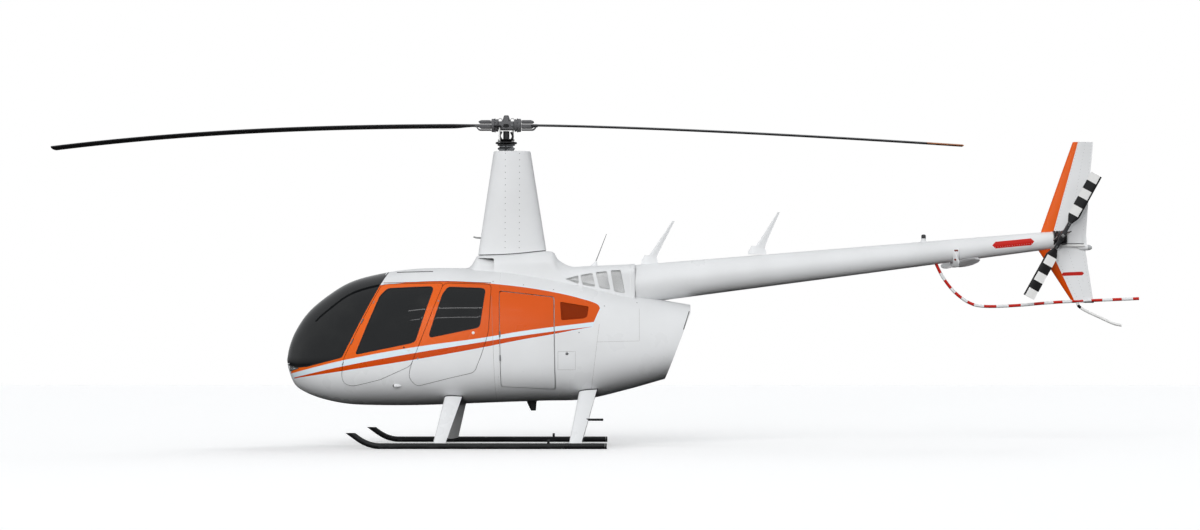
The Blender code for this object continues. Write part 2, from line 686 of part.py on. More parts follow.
def build_aft_cowl(boom_cutter, shell):
    stations = cowl_stations()
    skin = hull_body("cut_cowl_skin", stations)
    inside = hull_body("cut_cowl_inside", stations, COWL_WALL, stations[0] + 0.03)
    door_inside = hull_body("cut_bay_inside", [FIREWALL_X - 0.1] + stations, COWL_WALL)
    rear = prism("cut_cowl_rear", COWL_REAR_CUT, -1.0, 1.0)
    cowl = copy_of(skin, "aft_cowl", white_paint())
    shorter = prism("cut_inside_rear", tuple((x - 0.06, z) for x, z in COWL_REAR_CUT), -1.0, 1.0)
    boolean(inside, shorter)
    boolean(cowl, rear)
    boolean(cowl, inside)
    hole = side_prism("cut_bay_opening", rounded(grown(BAGGAGE_DOOR, SHUT_GAP / 2), 0.03), -1)
    boolean(cowl, hole)
    boolean(cowl, boom_cutter)
    boolean(cowl, rod("cut_exhaust_hole", exhaust_point(0.50), exhaust_point(1.3), EXHAUST_RADIUS + SEAT_GAP))
    door = copy_of(skin, "baggage_door", white_paint())
    boolean(door, door_inside)
    leaf = rounded(grown(BAGGAGE_DOOR, [-gap for gap in BAGGAGE_GAPS]), 0.03)
    boolean(door, side_prism("cut_baggage_door", leaf, -1), "INTERSECT")
    add_knuckles("baggage", door, [shell, cowl], BAGGAGE_HINGE, -1)
    engine = box("engine_block", (-0.34, -0.22, 0.40), (0.4496, 0.22, 1.35), bare_steel())
    engine_room = hull_body("cut_engine_room", stations, COWL_WALL + SEAT_GAP, stations[0] + 0.03)
    boolean(engine, engine_room, "INTERSECT")
    pipe = rod("exhaust_pipe", exhaust_point(0.40), exhaust_point(1.10), EXHAUST_RADIUS, bare_steel())
    boolean(pipe, box("cut_engine_rear", (0.2, -0.3, 0.4), (0.45, 0.3, 1.6)))
    bore = rod("cut_exhaust_bore", exhaust_point(0.50), exhaust_point(1.3), EXHAUST_RADIUS - EXHAUST_WALL)
    boolean(pipe, bore)
    pipe_end = tuple((x - EXHAUST_RECESS, z) for x, z in COWL_REAR_CUT)
    boolean(pipe, prism("cut_exhaust_end", pipe_end, -1.0, 1.0))
    floor = box("baggage_floor", (-1.1, -0.525, BAY_FLOOR - 0.012), (-0.36, 0.70, BAY_FLOOR), dark_plastic())
    bay_front = stations[0] + 0.03 + SEAT_GAP
    boolean(floor, hull_body("cut_bay_room", stations, COWL_WALL + SEAT_GAP, bay_front), "INTERSECT")
    screen_start = stations[0] + 0.03
    face = hull_body("cut_screen_face", stations, SCREEN_SINK, screen_start)
    back = hull_body("cut_screen_back", stations, SCREEN_SINK + SCREEN_THICKNESS, screen_start)
    for label, side in SIDES:
        boolean(cowl, side_prism(f"cut_screen_hole_{label}", grown(SIDE_SCREEN, SEAT_GAP), side))
        screen = copy_of(face, f"intake_screen_{label}", orange_paint())
        boolean(screen, back)
        boolean(screen, side_prism(f"cut_screen_{label}", SIDE_SCREEN, side), "INTERSECT")


def upper_cowl_ring(x, inset=0.0, foot=UPPER_COWL_FOOT):
    top = sampled(UPPER_COWL_SECTIONS, 1, x) - inset
    half = sampled(UPPER_COWL_SECTIONS, 2, x) - inset
    ring = [(x, -half, foot)]
    side_height = top - 0.55 * half
    steps = 7
    for i in range(steps + 1):
        angle = math.pi * (1 - i / steps)
        ring.append((x, half * math.cos(angle), side_height + (top - side_height) * math.sin(angle) ** 0.8))
    ring.append((x, half, foot))
    return ring


def scoop_stations(keys):
    """The upper cowl's own stations over the scoop, with one on each side of it."""
    inner = [x for x in keys if SCOOP_FRONT_X < x < COWL_SCOOP[1][0]]
    return [SCOOP_FRONT_X - 0.06] + inner + [COWL_SCOOP[1][0] + 0.02]


def build_upper_cowl(boom_cutter, hull):
    keys = [row[0] for row in UPPER_COWL_SECTIONS]
    cowl = loft("upper_cowl", [upper_cowl_ring(x) for x in keys], white_paint())
    seat_on(cowl, *hull)
    room_keys = [x for x in keys if -1.3 < x < 0.3] + [0.416]
    below = UPPER_COWL_FOOT - 0.1
    room = loft("cut_upper_room", [upper_cowl_ring(x, UPPER_COWL_WALL, below) for x in room_keys])
    boolean(cowl, room)
    boolean(cowl, boom_cutter)
    depth = UPPER_COWL_WALL + SEAT_GAP
    face = loft("cut_vent_face", [upper_cowl_ring(x, depth, below) for x in room_keys])
    back = loft("cut_vent_back", [upper_cowl_ring(x, depth + SCREEN_THICKNESS, below) for x in room_keys])
    scoop_length = COWL_SCOOP[1][0] - SCOOP_FRONT_X
    ramp = [(x, SCOOP_DEPTH * (x - SCOOP_FRONT_X) / scoop_length) for x in scoop_stations(keys)]
    scoop_floor = loft("cut_scoop_floor", [upper_cowl_ring(x, inset, below) for x, inset in ramp])
    for label, side in SIDES:
        for number, outline in enumerate(COWL_VENTS):
            boolean(cowl, side_prism(f"cut_vent_{label}_{number}", rounded(outline, 0.012, 2), side))
        scoop = side_prism(f"cut_scoop_{label}", rounded(COWL_SCOOP, 0.015, 2), side)
        boolean(scoop, scoop_floor)
        boolean(cowl, scoop)
        screen = copy_of(face, f"vent_screen_{label}", bare_steel())
        boolean(screen, back)
        boolean(screen, side_prism(f"cut_vent_field_{label}", VENT_FIELD, side), "INTERSECT")
        seat_on(screen, *hull)
    mast_hole = rod("cut_mast_hole", (ROTOR_AXIS_X, 0, 1.5), (ROTOR_AXIS_X, 0, 2.3), 0.06)
    boolean(cowl, mast_hole)
    return loft("cut_cowl_crest", [upper_cowl_ring(x, -SEAT_GAP) for x in keys])


def fin_section(leading, trailing, thickness, height, round_nose=True):
    """A streamlined plan section between two x places at one height."""
    chord = trailing - leading
    upper = []
    for share in (0.0, 0.03, 0.10, 0.25, 0.45, 0.70, 1.0):
        shape = 2.969 * math.sqrt(share) - 1.26 * share - 3.516 * share**2
        shape += 2.843 * share**3 - 1.015 * share**4
        upper.append((leading + chord * share, max(thickness / 2 * shape, 0.003)))
    ring = [(x, y, height) for x, y in upper]
    ring += [(x, -y, height) for x, y in reversed(upper)]
    if round_nose:
        ring = ring[1:]
    return ring


def fin_rings(rows):
    return [fin_section(leading, trailing, FIN_THICKNESS, height) for height, leading, trailing in rows]


def fairing_ring(height, inset=0.0):
    """The mast fairing's plan at one height: blunt in front and finer behind."""
    share = (height - FAIRING_LOW) / (FAIRING_HIGH - FAIRING_LOW)
    leading = FAIRING_FRONT[0] + share * (FAIRING_FRONT[1] - FAIRING_FRONT[0]) + inset
    trailing = FAIRING_REAR[0] + share * (FAIRING_REAR[1] - FAIRING_REAR[0]) - inset
    middle = (leading + trailing) / 2 - 0.04
    rise = min(max((height - FAIRING_FOOT) / (FAIRING_TOP - FAIRING_FOOT), 0.0), 1.0)
    half = (FAIRING_THICKNESS[0] + rise * (FAIRING_THICKNESS[1] - FAIRING_THICKNESS[0])) / 2 - inset
    ring = []
    count = 20
    for i in range(count):
        angle = 2 * math.pi * i / count
        reach = (trailing - middle) if math.cos(angle) > 0 else (middle - leading)
        across = half * math.copysign(abs(math.sin(angle)) ** 0.9, math.sin(angle))
        ring.append((middle + reach * math.cos(angle), across, height))
    return ring


def build_mast_fairing(crest):
    heights = [FAIRING_FOOT + (FAIRING_TOP - FAIRING_FOOT) * i / 6 for i in range(7)]
    fairing = loft("mast_fairing", [fairing_ring(height) for height in heights], white_paint())
    room_heights = [FAIRING_FOOT - 0.1] + heights[1:-1] + [FAIRING_TOP - 0.008]
    room = loft("cut_fairing_room", [fairing_ring(height, FAIRING_WALL) for height in room_heights])
    boolean(fairing, room)
    boolean(fairing, rod("cut_fairing_top", (ROTOR_AXIS_X, 0, 3.1), (ROTOR_AXIS_X, 0, 3.3), 0.052))
    boolean(fairing, crest)
    outside = loft("cut_fairing_grown", [fairing_ring(height, -SEAT_GAP) for height in heights])
    pitot_line = ((-1.17, 0, 2.2405), (-1.27, 0, 2.243), (-1.31, 0, 2.256))
    pitot = tube("pitot_tube", pitot_line, 0.010, bare_steel())
    seat_on(pitot, outside)


def build_boom():
    rod("tail_boom", BOOM_FRONT, BOOM_REAR, BOOM_FRONT_RADIUS, white_paint(), BOOM_REAR_RADIUS, sides=40)
    along = (BOOM_REAR - BOOM_FRONT).normalized()
    slope = (BOOM_FRONT_RADIUS - BOOM_REAR_RADIUS) / (BOOM_REAR - BOOM_FRONT).length
    front = BOOM_FRONT - along * SEAT_GAP
    cutter = rod(
        "cut_boom", front, BOOM_REAR, BOOM_FRONT_RADIUS + slope * SEAT_GAP + SEAT_GAP, None,
        BOOM_REAR_RADIUS + SEAT_GAP, sides=40,
    )
    return cutter


def build_tail(boom_cutter):
    share = 0.3  # of the boom, from its rear end, that the fins and the gearbox are cut from
    swell = (BOOM_FRONT_RADIUS - BOOM_REAR_RADIUS) * share
    boom_grown = rod(
        "cut_boom_rear", BOOM_REAR + (BOOM_FRONT - BOOM_REAR) * share, BOOM_REAR + Vector((0.002, 0, 0)),
        BOOM_REAR_RADIUS + swell + SEAT_GAP, None, BOOM_REAR_RADIUS + SEAT_GAP, sides=40,
    )
    gearbox = box("tail_gearbox", GEARBOX_LOW, GEARBOX_HIGH, dark_paint(), 0.02)
    gap = Vector((SEAT_GAP, SEAT_GAP, SEAT_GAP))
    gearbox_cut = box("cut_gearbox", GEARBOX_LOW - gap, GEARBOX_HIGH + gap)
    fin = loft("upper_fin", fin_rings(UPPER_FIN_ROWS), white_paint())
    boolean(fin, boom_grown)
    boolean(fin, gearbox_cut)
    lower_fin = loft("lower_fin", fin_rings(LOWER_FIN_ROWS), white_paint())
    boolean(lower_fin, boom_grown)
    boolean(lower_fin, gearbox_cut)
    boolean(gearbox, boom_grown)
    centre = TAIL_ROTOR_CENTRE
    bore_end, bore_start = (centre.x, -0.3, centre.z), (centre.x, -0.105, centre.z)
    shaft_bore = rod("cut_shaft_bore", bore_end, bore_start, TAIL_SHAFT_RADIUS + SHAFT_GAP)
    boolean(gearbox, shaft_bore)
    stabilizer = []
    for y, leading, trailing in STABILIZER_ROWS:
        section = fin_section(leading, trailing, STABILIZER_THICKNESS, 0.0)
        stabilizer.append([(x, y, STABILIZER_HEIGHT + across) for x, across, _ in section])
    loft("stabilizer", stabilizer, white_paint())
    light = rod("tail_light", (5.326, 0, 2.17), (5.395, 0, 2.165), 0.028, lamp_lens(), 0.012, sides=16)
    boolean(light, box("cut_fin_edge", (5.0, -0.2, 2.0), (5.3304, 0.2, 2.4)))
    skid = tube("tail_skid", TAIL_SKID_LINE, 0.010, bare_steel())
    boolean(skid, box("cut_skid_top", (5.0, -0.1, FIN_FOOT - SEAT_GAP), (5.4, 0.1, 1.7)))
    seat_on(tube("tail_guard", GUARD_LINE, GUARD_RADIUS, guard_paint()), boom_cutter)
    boolean(lower_fin, tube("cut_guard", GUARD_LINE, GUARD_RADIUS + SEAT_GAP))


def paddle_rings(tip, tilt):
    """Rings of an oval paddle from the saddle's foot to its tip, with its rear edge turned up."""
    span = (tip - NAV_ROOT).normalized()
    level = Vector((abs(span.y), -span.x * math.copysign(1.0, span.y), 0.0)).normalized()
    back = level * math.cos(tilt) + Vector((0, 0, math.sin(tilt)))
    out = Vector((-math.sin(tilt) * level.x, -math.sin(tilt) * level.y, math.cos(tilt)))
    rings = []
    for share in (0.04, 0.15, 0.35, 0.60, 0.85, 0.97):
        chord = NAV_CHORD * math.sqrt(1 - (2 * share - 1) ** 2)
        middle = NAV_ROOT.lerp(tip, share)
        section = fin_section(-0.5 * chord, 0.5 * chord, NAV_THICKNESS, 0.0)
        rings.append([middle + back * along + out * across for along, across, _ in section])
    return rings


def build_nav_antenna(boom_cutter):
    """A saddle hung from the boom, with two oval paddles at its foot."""
    saddle = box("nav_antenna", (3.866, -0.130, 1.925), (3.931, 0.130, 2.120), white_paint())
    boolean(saddle, box("cut_saddle_room", (3.80, -0.112, 1.943), (4.00, 0.112, 2.20)))
    seat_on(saddle, boom_cutter)
    for label, tip, tilt in NAV_PADDLES:
        boolean(saddle, loft(f"nav_paddle_{label}", paddle_rings(tip, tilt)), "UNION")


def build_antennas(hull, crest, boom_cutter):
    build_nav_antenna(boom_cutter)
    whip = tube("whip_antenna", ((-0.01, 0, 1.90), (0.135, 0, 2.284)), 0.006, dark_paint())
    seat_on(whip, crest)
    seat_on(prism("comm_antenna", COMM_ANTENNA, -0.010, 0.010, white_paint()), boom_cutter)
    seat_on(prism("locator_antenna", LOCATOR_ANTENNA, -0.010, 0.010, white_paint()), boom_cutter)
    lamp = rod("beacon", (3.566, 0, 2.15), (3.566, 0, 2.279), 0.035, lamp_lens(), 0.028, sides=16)
    seat_on(lamp, boom_cutter)
    seat_on(prism("belly_antenna", BELLY_ANTENNA, -0.008, 0.008, white_paint()), hull[1])


def build_gear(hull):
    for label, side in SIDES:
        y = SKID_HALF_TREAD * side
        run = ((-2.60, y, 0.2294), (-2.39, y, 0.075), (-2.27, y, SKID_RADIUS), (0.142, y, SKID_RADIUS))
        skid = tube(f"skid_{label}", arc_corners(run, 0.06, 2), SKID_RADIUS, dark_paint())
        boolean(skid, box(f"cut_skid_front_{label}", (-2.8, y - 0.1, SKID_TOP), (-2.3, y + 0.1, 0.4)))
        level = ((-2.2, y, SKID_RADIUS), (0.1, y, SKID_RADIUS))
        saddle = tube(f"cut_saddle_{label}", level, SKID_RADIUS + SEAT_GAP)
        for place, top_x, bottom_x, top_z, top_y in (
            ("front", -1.470, -1.602, 0.60, 0.45),
            ("rear", -0.045, -0.193, 0.66, 0.37),
        ):
            rings = []
            for share in (0.0, 0.5, 1.0):
                x = top_x + (bottom_x - top_x) * share
                z = top_z + (SKID_RADIUS - top_z) * share
                yy = (top_y + (SKID_HALF_TREAD - top_y) * share) * side
                chord = 0.19 + (0.125 - 0.19) * share
                section = fin_section(x - chord / 2, x + chord / 2, 0.062 - 0.014 * share, z)
                rings.append([(px, yy + py, z) for px, py, _ in section])
            leg = loft(f"gear_leg_{place}_{label}", rings, white_paint())
            seat_on(leg, hull[0] if place == "front" else hull[1], saddle)


def blade_rings(sign, droop, power):
    """Rings of a main blade along X, narrow at its root and drooping under its own weight."""
    steps = 8
    reaches = [BLADE_ROOT_REACH]
    reaches += [BLADE_FULL_REACH + (ROTOR_RADIUS - BLADE_FULL_REACH) * i / steps for i in range(steps + 1)]
    rings = []
    for reach in reaches:
        fall = droop * ((reach - BLADE_ROOT_REACH) / (ROTOR_RADIUS - BLADE_ROOT_REACH)) ** power
        width = BLADE_CHORD if reach > BLADE_ROOT_REACH else 0.45 * BLADE_CHORD
        ring = []
        for along, across, _ in fin_section(-0.25 * width, 0.75 * width, BLADE_THICKNESS, 0.0):
            turned_y = along * math.cos(BLADE_PITCH) - across * math.sin(BLADE_PITCH)
            turned_z = -along * math.sin(BLADE_PITCH) + across * math.cos(BLADE_PITCH)
            ring.append((ROTOR_AXIS_X + sign * reach, -sign * turned_y, ROTOR_HEIGHT - fall + turned_z))
        rings.append(ring)
    return rings


def on_mast(along, across, height):
    return Vector((ROTOR_AXIS_X + along, across, height))


def build_main_rotor():
    """The mast and hub, both blades with their grips and horns, and the two swashplates."""
    mast = rod("mast_shaft", on_mast(0, 0, 2.10), on_mast(0, 0, 3.40), MAST_RADIUS, bare_steel())
    hub_low = on_mast(-HUB_HALF_LENGTH, -0.05, 3.40 + SEAT_GAP)
    hub = box("rotor_hub", hub_low, on_mast(HUB_HALF_LENGTH, 0.05, 3.515), bare_steel(), 0.012)
    cap = rod("cap", on_mast(0, 0, 3.45), on_mast(0, 0, HUB_TOP), 0.045, None, 0.029, 6)
    boolean(hub, cap, "UNION")
    for name, sign, droop, power in (("main_blade_1", -1, 0.238, 2.4), ("main_blade_2", 1, 0.222, 1.4)):
        blade = loft(name, blade_rings(sign, droop, power), blade_paint())
        for label, start, end, radius, end_radius in (
            ("collar", HUB_HALF_LENGTH + SEAT_GAP, 0.165, 0.070, 0.070),
            ("grip", 0.15, 0.31, 0.053, 0.050),
        ):
            inner, outer = on_mast(sign * start, 0, ROTOR_HEIGHT), on_mast(sign * end, 0, ROTOR_HEIGHT)
            boolean(blade, rod(f"{label}_{name}", inner, outer, radius, None, end_radius, 20), "UNION")
        near, far = sorted((0.058 * sign, 0.102 * sign))
        left, right = sorted((0.056 * sign, 0.13 * sign))
        horn = box(f"horn_{name}", on_mast(left, near, HORN_HEIGHT), on_mast(right, far, HORN_HEIGHT + 0.022))
        boolean(blade, horn, "UNION")
        set_origin(blade, on_mast(0, 0, ROTOR_HEIGHT))
    lower = rod("swashplate_lower", on_mast(0, 0, 3.1804), on_mast(0, 0, 3.255), 0.095, bare_steel())
    upper = rod("swashplate_upper", on_mast(0, 0, 3.262), on_mast(0, 0, 3.285), 0.114, bare_steel())
    bore = rod("cut_swash_bore", on_mast(0, 0, 3.0), on_mast(0, 0, 3.4), MAST_RADIUS + SEAT_GAP)
    boolean(lower, bore)
    boolean(upper, bore)
    for sign in (-1, 1):
        along, across = (out * sign for out in LINK_OUT)
        foot, top = on_mast(along, across, 3.27), on_mast(along, across, HORN_HEIGHT - SEAT_GAP)
        boolean(upper, rod(f"link_{sign}", foot, top, 0.008, sides=10), "UNION")
    for piece in (mast, hub, lower, upper):
        set_origin(piece, on_mast(0, 0, 3.2))


def build_tail_rotor():
    centre = TAIL_ROTOR_CENTRE
    tilt = math.radians(TAIL_ROTOR_TILT)
    along = Vector((math.sin(tilt), 0, math.cos(tilt)))
    across = Vector((math.cos(tilt), 0, -math.sin(tilt)))
    foot = centre + Vector((0, -0.05, 0))
    hub = rod("tail_rotor_hub", foot, (centre.x, -0.11, centre.z), TAIL_SHAFT_RADIUS, bare_steel())
    strap = box("strap", (-0.025, -0.02, -0.16), (0.025, 0.02, 0.16))
    strap.matrix_world = Matrix.Translation(centre) @ Matrix.Rotation(tilt, 4, "Y")
    boolean(hub, strap, "UNION")
    for number, sign in ((1, 1), (2, -1)):
        rings = []
        for reach in (TAIL_BLADE_ROOT, 0.26, 0.5, TAIL_ROTOR_RADIUS):
            chord = TAIL_BLADE_CHORD if reach > TAIL_BLADE_ROOT else 0.05
            section = fin_section(-0.5 * chord, 0.5 * chord, TAIL_BLADE_THICKNESS, 0.0)
            root = centre + along * sign * reach
            rings.append([root - across * sign * back + Vector((0, side, 0)) for back, side, _ in section])
        blade = loft(f"tail_blade_{number}", rings, white_paint())
        set_origin(blade, centre)
    set_origin(hub, centre)


def main():
    clear_scene()
    boom_cutter = build_boom()
    hull = hull_cutters()
    shell = build_cabin()
    build_cabin_inside()
    build_aft_cowl(boom_cutter, shell)
    crest = build_upper_cowl(boom_cutter, hull)
    build_mast_fairing(crest)
    build_tail(boom_cutter)
    build_antennas(hull, crest, boom_cutter)
    build_gear(hull)
    build_main_rotor()
    build_tail_rotor()


main()
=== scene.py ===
"""The looks of a light turbine helicopter, laid over its fixed frame.

Metres, +Z up. The nose points to -X, the left side to -Y. The skids stand on Z = 0.
"""

import math

import bmesh
import bpy
import numpy as np
from mathutils import Matrix, Vector


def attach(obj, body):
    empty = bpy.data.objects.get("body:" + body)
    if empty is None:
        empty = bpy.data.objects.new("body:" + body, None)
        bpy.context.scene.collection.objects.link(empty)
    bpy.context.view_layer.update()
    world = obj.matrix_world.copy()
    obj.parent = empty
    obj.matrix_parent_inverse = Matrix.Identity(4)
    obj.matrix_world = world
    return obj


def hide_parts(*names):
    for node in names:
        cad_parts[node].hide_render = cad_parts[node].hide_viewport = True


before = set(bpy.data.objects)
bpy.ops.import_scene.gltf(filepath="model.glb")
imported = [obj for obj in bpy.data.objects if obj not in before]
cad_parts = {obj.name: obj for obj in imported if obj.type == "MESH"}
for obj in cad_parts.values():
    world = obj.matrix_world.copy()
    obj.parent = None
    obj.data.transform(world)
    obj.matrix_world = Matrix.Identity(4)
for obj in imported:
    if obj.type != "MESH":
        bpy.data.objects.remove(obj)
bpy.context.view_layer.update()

# Driving dimensions, the same as in the part's source
ROTOR_RADIUS = 4.935
ROTOR_AXIS_X = -0.952
ROTOR_HEIGHT = 3.464
BLADE_CHORD = 0.257
BLADE_THICKNESS = 0.027
BLADE_ROOT = 0.27
BLADE_FULL_REACH = 0.60
HUB_HALF_LENGTH = 0.085
TAIL_ROTOR_CENTRE = Vector((5.014, -0.31, 2.248))
TAIL_ROTOR_TILT = math.radians(29.2)
SKID_HALF_TREAD = 1.12
SKID_RADIUS = 0.0305
FIREWALL_X = -1.0
HULL_REAR_X = 1.06
SHUT_GAP = 0.005
GLASS_SINK = 0.002
GLASS_THICKNESS = 0.007
DOOR_THICKNESS = 0.026
FRAME_SINK = 0.040
WALL = 0.055
COWL_WALL = 0.022
SEAT_GAP = 0.0004
FRAME_WIDTH = 0.045
FRAME_NARROW = 0.012
CENTRE_POST_HALF = 0.022
NOTCH_GAP = 0.0008
HINGE_RADIUS = 0.0085
HINGE_LENGTH = 0.06
UPPER_COWL_WALL = 0.020
SCREEN_SINK = 0.006
EXHAUST_RADIUS = 0.14
EXHAUST_HEIGHT = 0.975
EXHAUST_FALL = 0.09
BOOM_FRONT = Vector((0.446, 0.0, 1.738))
BOOM_REAR = Vector((5.030, 0.0, 2.224))
BOOM_FRONT_RADIUS = 0.210
BOOM_REAR_RADIUS = 0.092
GUARD_RADIUS = 0.0165
FIN_THICKNESS = 0.055
FAIRING_FOOT, FAIRING_TOP = 2.00, 3.180
# The mast fairing's front and rear edge in side view, as x at two measured heights
FAIRING_HEIGHTS = (2.06, 3.168)
FAIRING_LEADING = (-1.254, -1.090)
FAIRING_TRAILING = (-0.509, -0.687)
SIDES = (("left", -1), ("right", 1))

# Hull sections from nose to tail: x, half width, top, bottom, height where it is widest, and
# the powers that shape it above and below that height, where 2 is an ellipse
HULL_SECTIONS = np.array((
    (-3.317, 0.020, 0.935, 0.905, 0.920, 2.0, 2.0),
    (-3.290, 0.120, 1.072, 0.791, 0.905, 2.0, 2.0),
    (-3.225, 0.215, 1.235, 0.650, 0.890, 2.0, 2.1),
    (-3.095, 0.340, 1.429, 0.564, 0.880, 2.0, 2.2),
    (-2.900, 0.465, 1.600, 0.495, 0.880, 2.05, 2.3),
    (-2.640, 0.580, 1.760, 0.447, 0.890, 2.1, 2.4),
    (-2.316, 0.665, 1.852, 0.434, 0.900, 2.2, 2.5),
    (-1.926, 0.720, 1.906, 0.434, 0.920, 2.35, 2.6),
    (-1.500, 0.738, 1.913, 0.447, 0.930, 2.45, 2.6),
    (-1.017, 0.732, 1.900, 0.466, 0.940, 2.45, 2.6),
    (-0.550, 0.702, 1.840, 0.482, 0.950, 2.4, 2.5),
    (-0.100, 0.640, 1.760, 0.498, 0.960, 2.3, 2.4),
    (0.350, 0.545, 1.642, 0.600, 0.990, 2.2, 2.3),
    (0.758, 0.450, 1.566, 0.715, 1.040, 2.1, 2.2),
    (1.060, 0.375, 1.515, 0.800, 1.080, 2.0, 2.1),
))
NOSE_X = HULL_SECTIONS[0][0]
HULL_RING_POINTS = 96

# Side-view outlines, as (x, z)
FRONT_DOOR = (
    (-2.258, 1.730), (-2.646, 0.937), (-2.671, 0.740), (-2.640, 0.667), (-2.553, 0.642),
    (-2.252, 0.712), (-1.924, 0.859), (-1.821, 1.121), (-1.699, 1.449), (-1.591, 1.739),
)
REAR_DOOR = (
    (-1.591, 1.739), (-1.699, 1.449), (-1.821, 1.121), (-1.924, 0.859), (-1.949, 0.736),
    (-1.866, 0.642), (-1.512, 0.731), (-1.252, 0.790), (-1.182, 0.968), (-1.105, 1.216),
    (-1.085, 1.725),
)
FRONT_WINDOW = (
    (-2.190, 1.682), (-2.267, 1.606), (-2.517, 0.980), (-1.924, 1.099), (-1.877, 1.121),
    (-1.702, 1.674), (-1.722, 1.700),
)
REAR_WINDOW = (
    (-1.543, 1.695), (-1.596, 1.621), (-1.730, 1.185), (-1.715, 1.160), (-1.221, 1.262),
    (-1.198, 1.285), (-1.148, 1.660), (-1.177, 1.681),
)
WINDSHIELD = (
    (-2.218, 1.850), (-2.284, 1.718), (-2.347, 1.590), (-2.668, 0.949), (-2.925, 0.886), (-3.055, 0.853),
    (-3.180, 0.841), (-3.295, 0.868), (-3.600, 0.900), (-3.600, 2.200), (-2.218, 2.200),
)
BAGGAGE_DOOR = ((-1.000, 1.655), (-0.975, 0.640), (-0.400, 0.610), (-0.418, 1.590))
BAGGAGE_GAPS = (0.004, 0.004, 0.008, 0.006)
SIDE_SCREEN = ((-0.356, 1.539), (-0.340, 1.340), (-0.104, 1.360), (-0.067, 1.382), (-0.052, 1.488))
COWL_VENTS = (
    ((-0.306, 1.788), (-0.163, 1.733), (-0.163, 1.827)),
    ((-0.144, 1.831), (-0.014, 1.852), (0.015, 1.703), (-0.118, 1.722)),
    ((0.020, 1.861), (0.139, 1.873), (0.176, 1.673), (0.060, 1.692)),
    ((0.179, 1.880), (0.288, 1.886), (0.334, 1.634), (0.220, 1.652)),
)
SCOOP_FRONT_X = -1.262
SCOOP_REAR_X = -1.072
COWL_SCOOP = ((-1.300, 1.893), (SCOOP_REAR_X, 1.880), (SCOOP_REAR_X, 2.012), (-1.300, 2.018))
SCOOP_DEPTH = 0.048
COWL_REAR_CUT = ((1.046, 1.700), (1.037, 1.429), (0.763, 0.716), (0.640, 0.395), (2.0, 0.30), (2.0, 1.70))
FRONT_HINGE = (Vector((-2.662, 0.609, 0.90)), Vector((-2.271, 0.545, 1.70)))
BAGGAGE_HINGE = (Vector((-0.9760, 0.748, 0.69)), Vector((-0.9955, 0.692, 1.62)))
HINGE_SHARES = (0.27, 0.54)

# Upper cowl over the gearbox: x, crest height and half width
UPPER_COWL_SECTIONS = np.array((
    (-1.429, 1.906, 0.140),
    (-1.350, 1.924, 0.192),
    (-1.303, 1.973, 0.222),
    (-1.272, 2.036, 0.238),
    (-1.200, 2.056, 0.262),
    (-0.850, 2.078, 0.290),
    (-0.476, 2.096, 0.300),
    (-0.411, 2.030, 0.302),
    (-0.346, 1.976, 0.302),
    (-0.238, 1.930, 0.298),
    (-0.087, 1.935, 0.285),
    (0.200, 1.947, 0.250),
    (0.440, 1.957, 0.219),
))
UPPER_COWL_FOOT = 1.30

# Side stripes of the livery, as (x, z) on the hull
BAND_TOP = (
    (-3.40, 1.60), (-2.269, 1.721), (-1.634, 1.761), (-0.995, 1.723), (-0.411, 1.639), (-0.071, 1.556),
    (0.014, 1.527), (0.052, 1.504), (0.067, 1.468), (0.10, 1.40),
)
BAND_BOTTOM = (
    (-3.40, 0.742), (-3.258, 0.775), (-2.634, 0.921), (-1.861, 1.060), (-1.194, 1.151), (-0.753, 1.225),
    (0.005, 1.324), (0.10, 1.336),
)
STRIPE_TOP = (
    (-3.40, 0.696), (-3.223, 0.732), (-2.634, 0.859), (-1.861, 0.998), (-1.194, 1.106), (-0.753, 1.177),
    (-0.014, 1.275), (0.10, 1.290),
)
STRIPE_BOTTOM = (
    (-3.40, 0.683), (-3.227, 0.719), (-2.766, 0.788), (-1.861, 0.929), (-1.194, 1.048), (-0.753, 1.136),
    (-0.445, 1.190), (-0.202, 1.238), (-0.014, 1.272), (0.10, 1.292),
)
BAND_REAR = ((0.067, 1.468), (0.005, 1.329))
BAND_FRONT = -3.258
STRIPE_FRONT = -3.222
BAND_MARGIN = 0.009
SPAN_X = (-3.40, 0.10)
SPAN_Z = (0.60, 1.90)


# Curves and sections

def spline_value(values, place):
    """Catmull-Rom value between the rows of a list, at a row number with a fraction."""
    last = len(values) - 1
    i = min(int(place), last - 1)
    t = place - i
    p1, p2 = values[i], values[i + 1]
    p0 = values[i - 1] if i > 0 else 2 * p1 - p2
    p3 = values[i + 2] if i + 2 <= last else 2 * p2 - p1
    return 0.5 * (
        2 * p1 + (p2 - p0) * t + (2 * p0 - 5 * p1 + 4 * p2 - p3) * t * t + (3 * p1 - p0 - 3 * p2 + p3) * t**3
    )


def row_at(table, x):
    """All columns of a table at a place along its first column."""
    low, high = 0.0, len(table) - 1.0
    for _ in range(30):
        middle = (low + high) / 2
        if spline_value(table[:, 0], middle) < x:
            low = middle
        else:
            high = middle
    return spline_value(table, low)


def evenly(start, end, count):
    return [start + (end - start) * i / (count - 1) for i in range(count)]


def hull_ring(x, inset):
    _, half, top, bottom, wide, power_up, power_down = row_at(HULL_SECTIONS, x)
    half = max(half - inset, 0.004)
    up = max(top - inset - wide, 0.004)
    down = max(wide - bottom - inset, 0.004)
    ring = []
    for i in range(HULL_RING_POINTS):
        angle = 2 * math.pi * (i + 0.5) / HULL_RING_POINTS
        c, s = math.cos(angle), math.sin(angle)
        power = power_up if s >= 0 else power_down
        y = math.copysign(abs(c) ** (2 / power), c) * half
        z = math.copysign(abs(s) ** (2 / power), s) * (up if s >= 0 else down)
        ring.append((x, y, wide + z))
    return ring


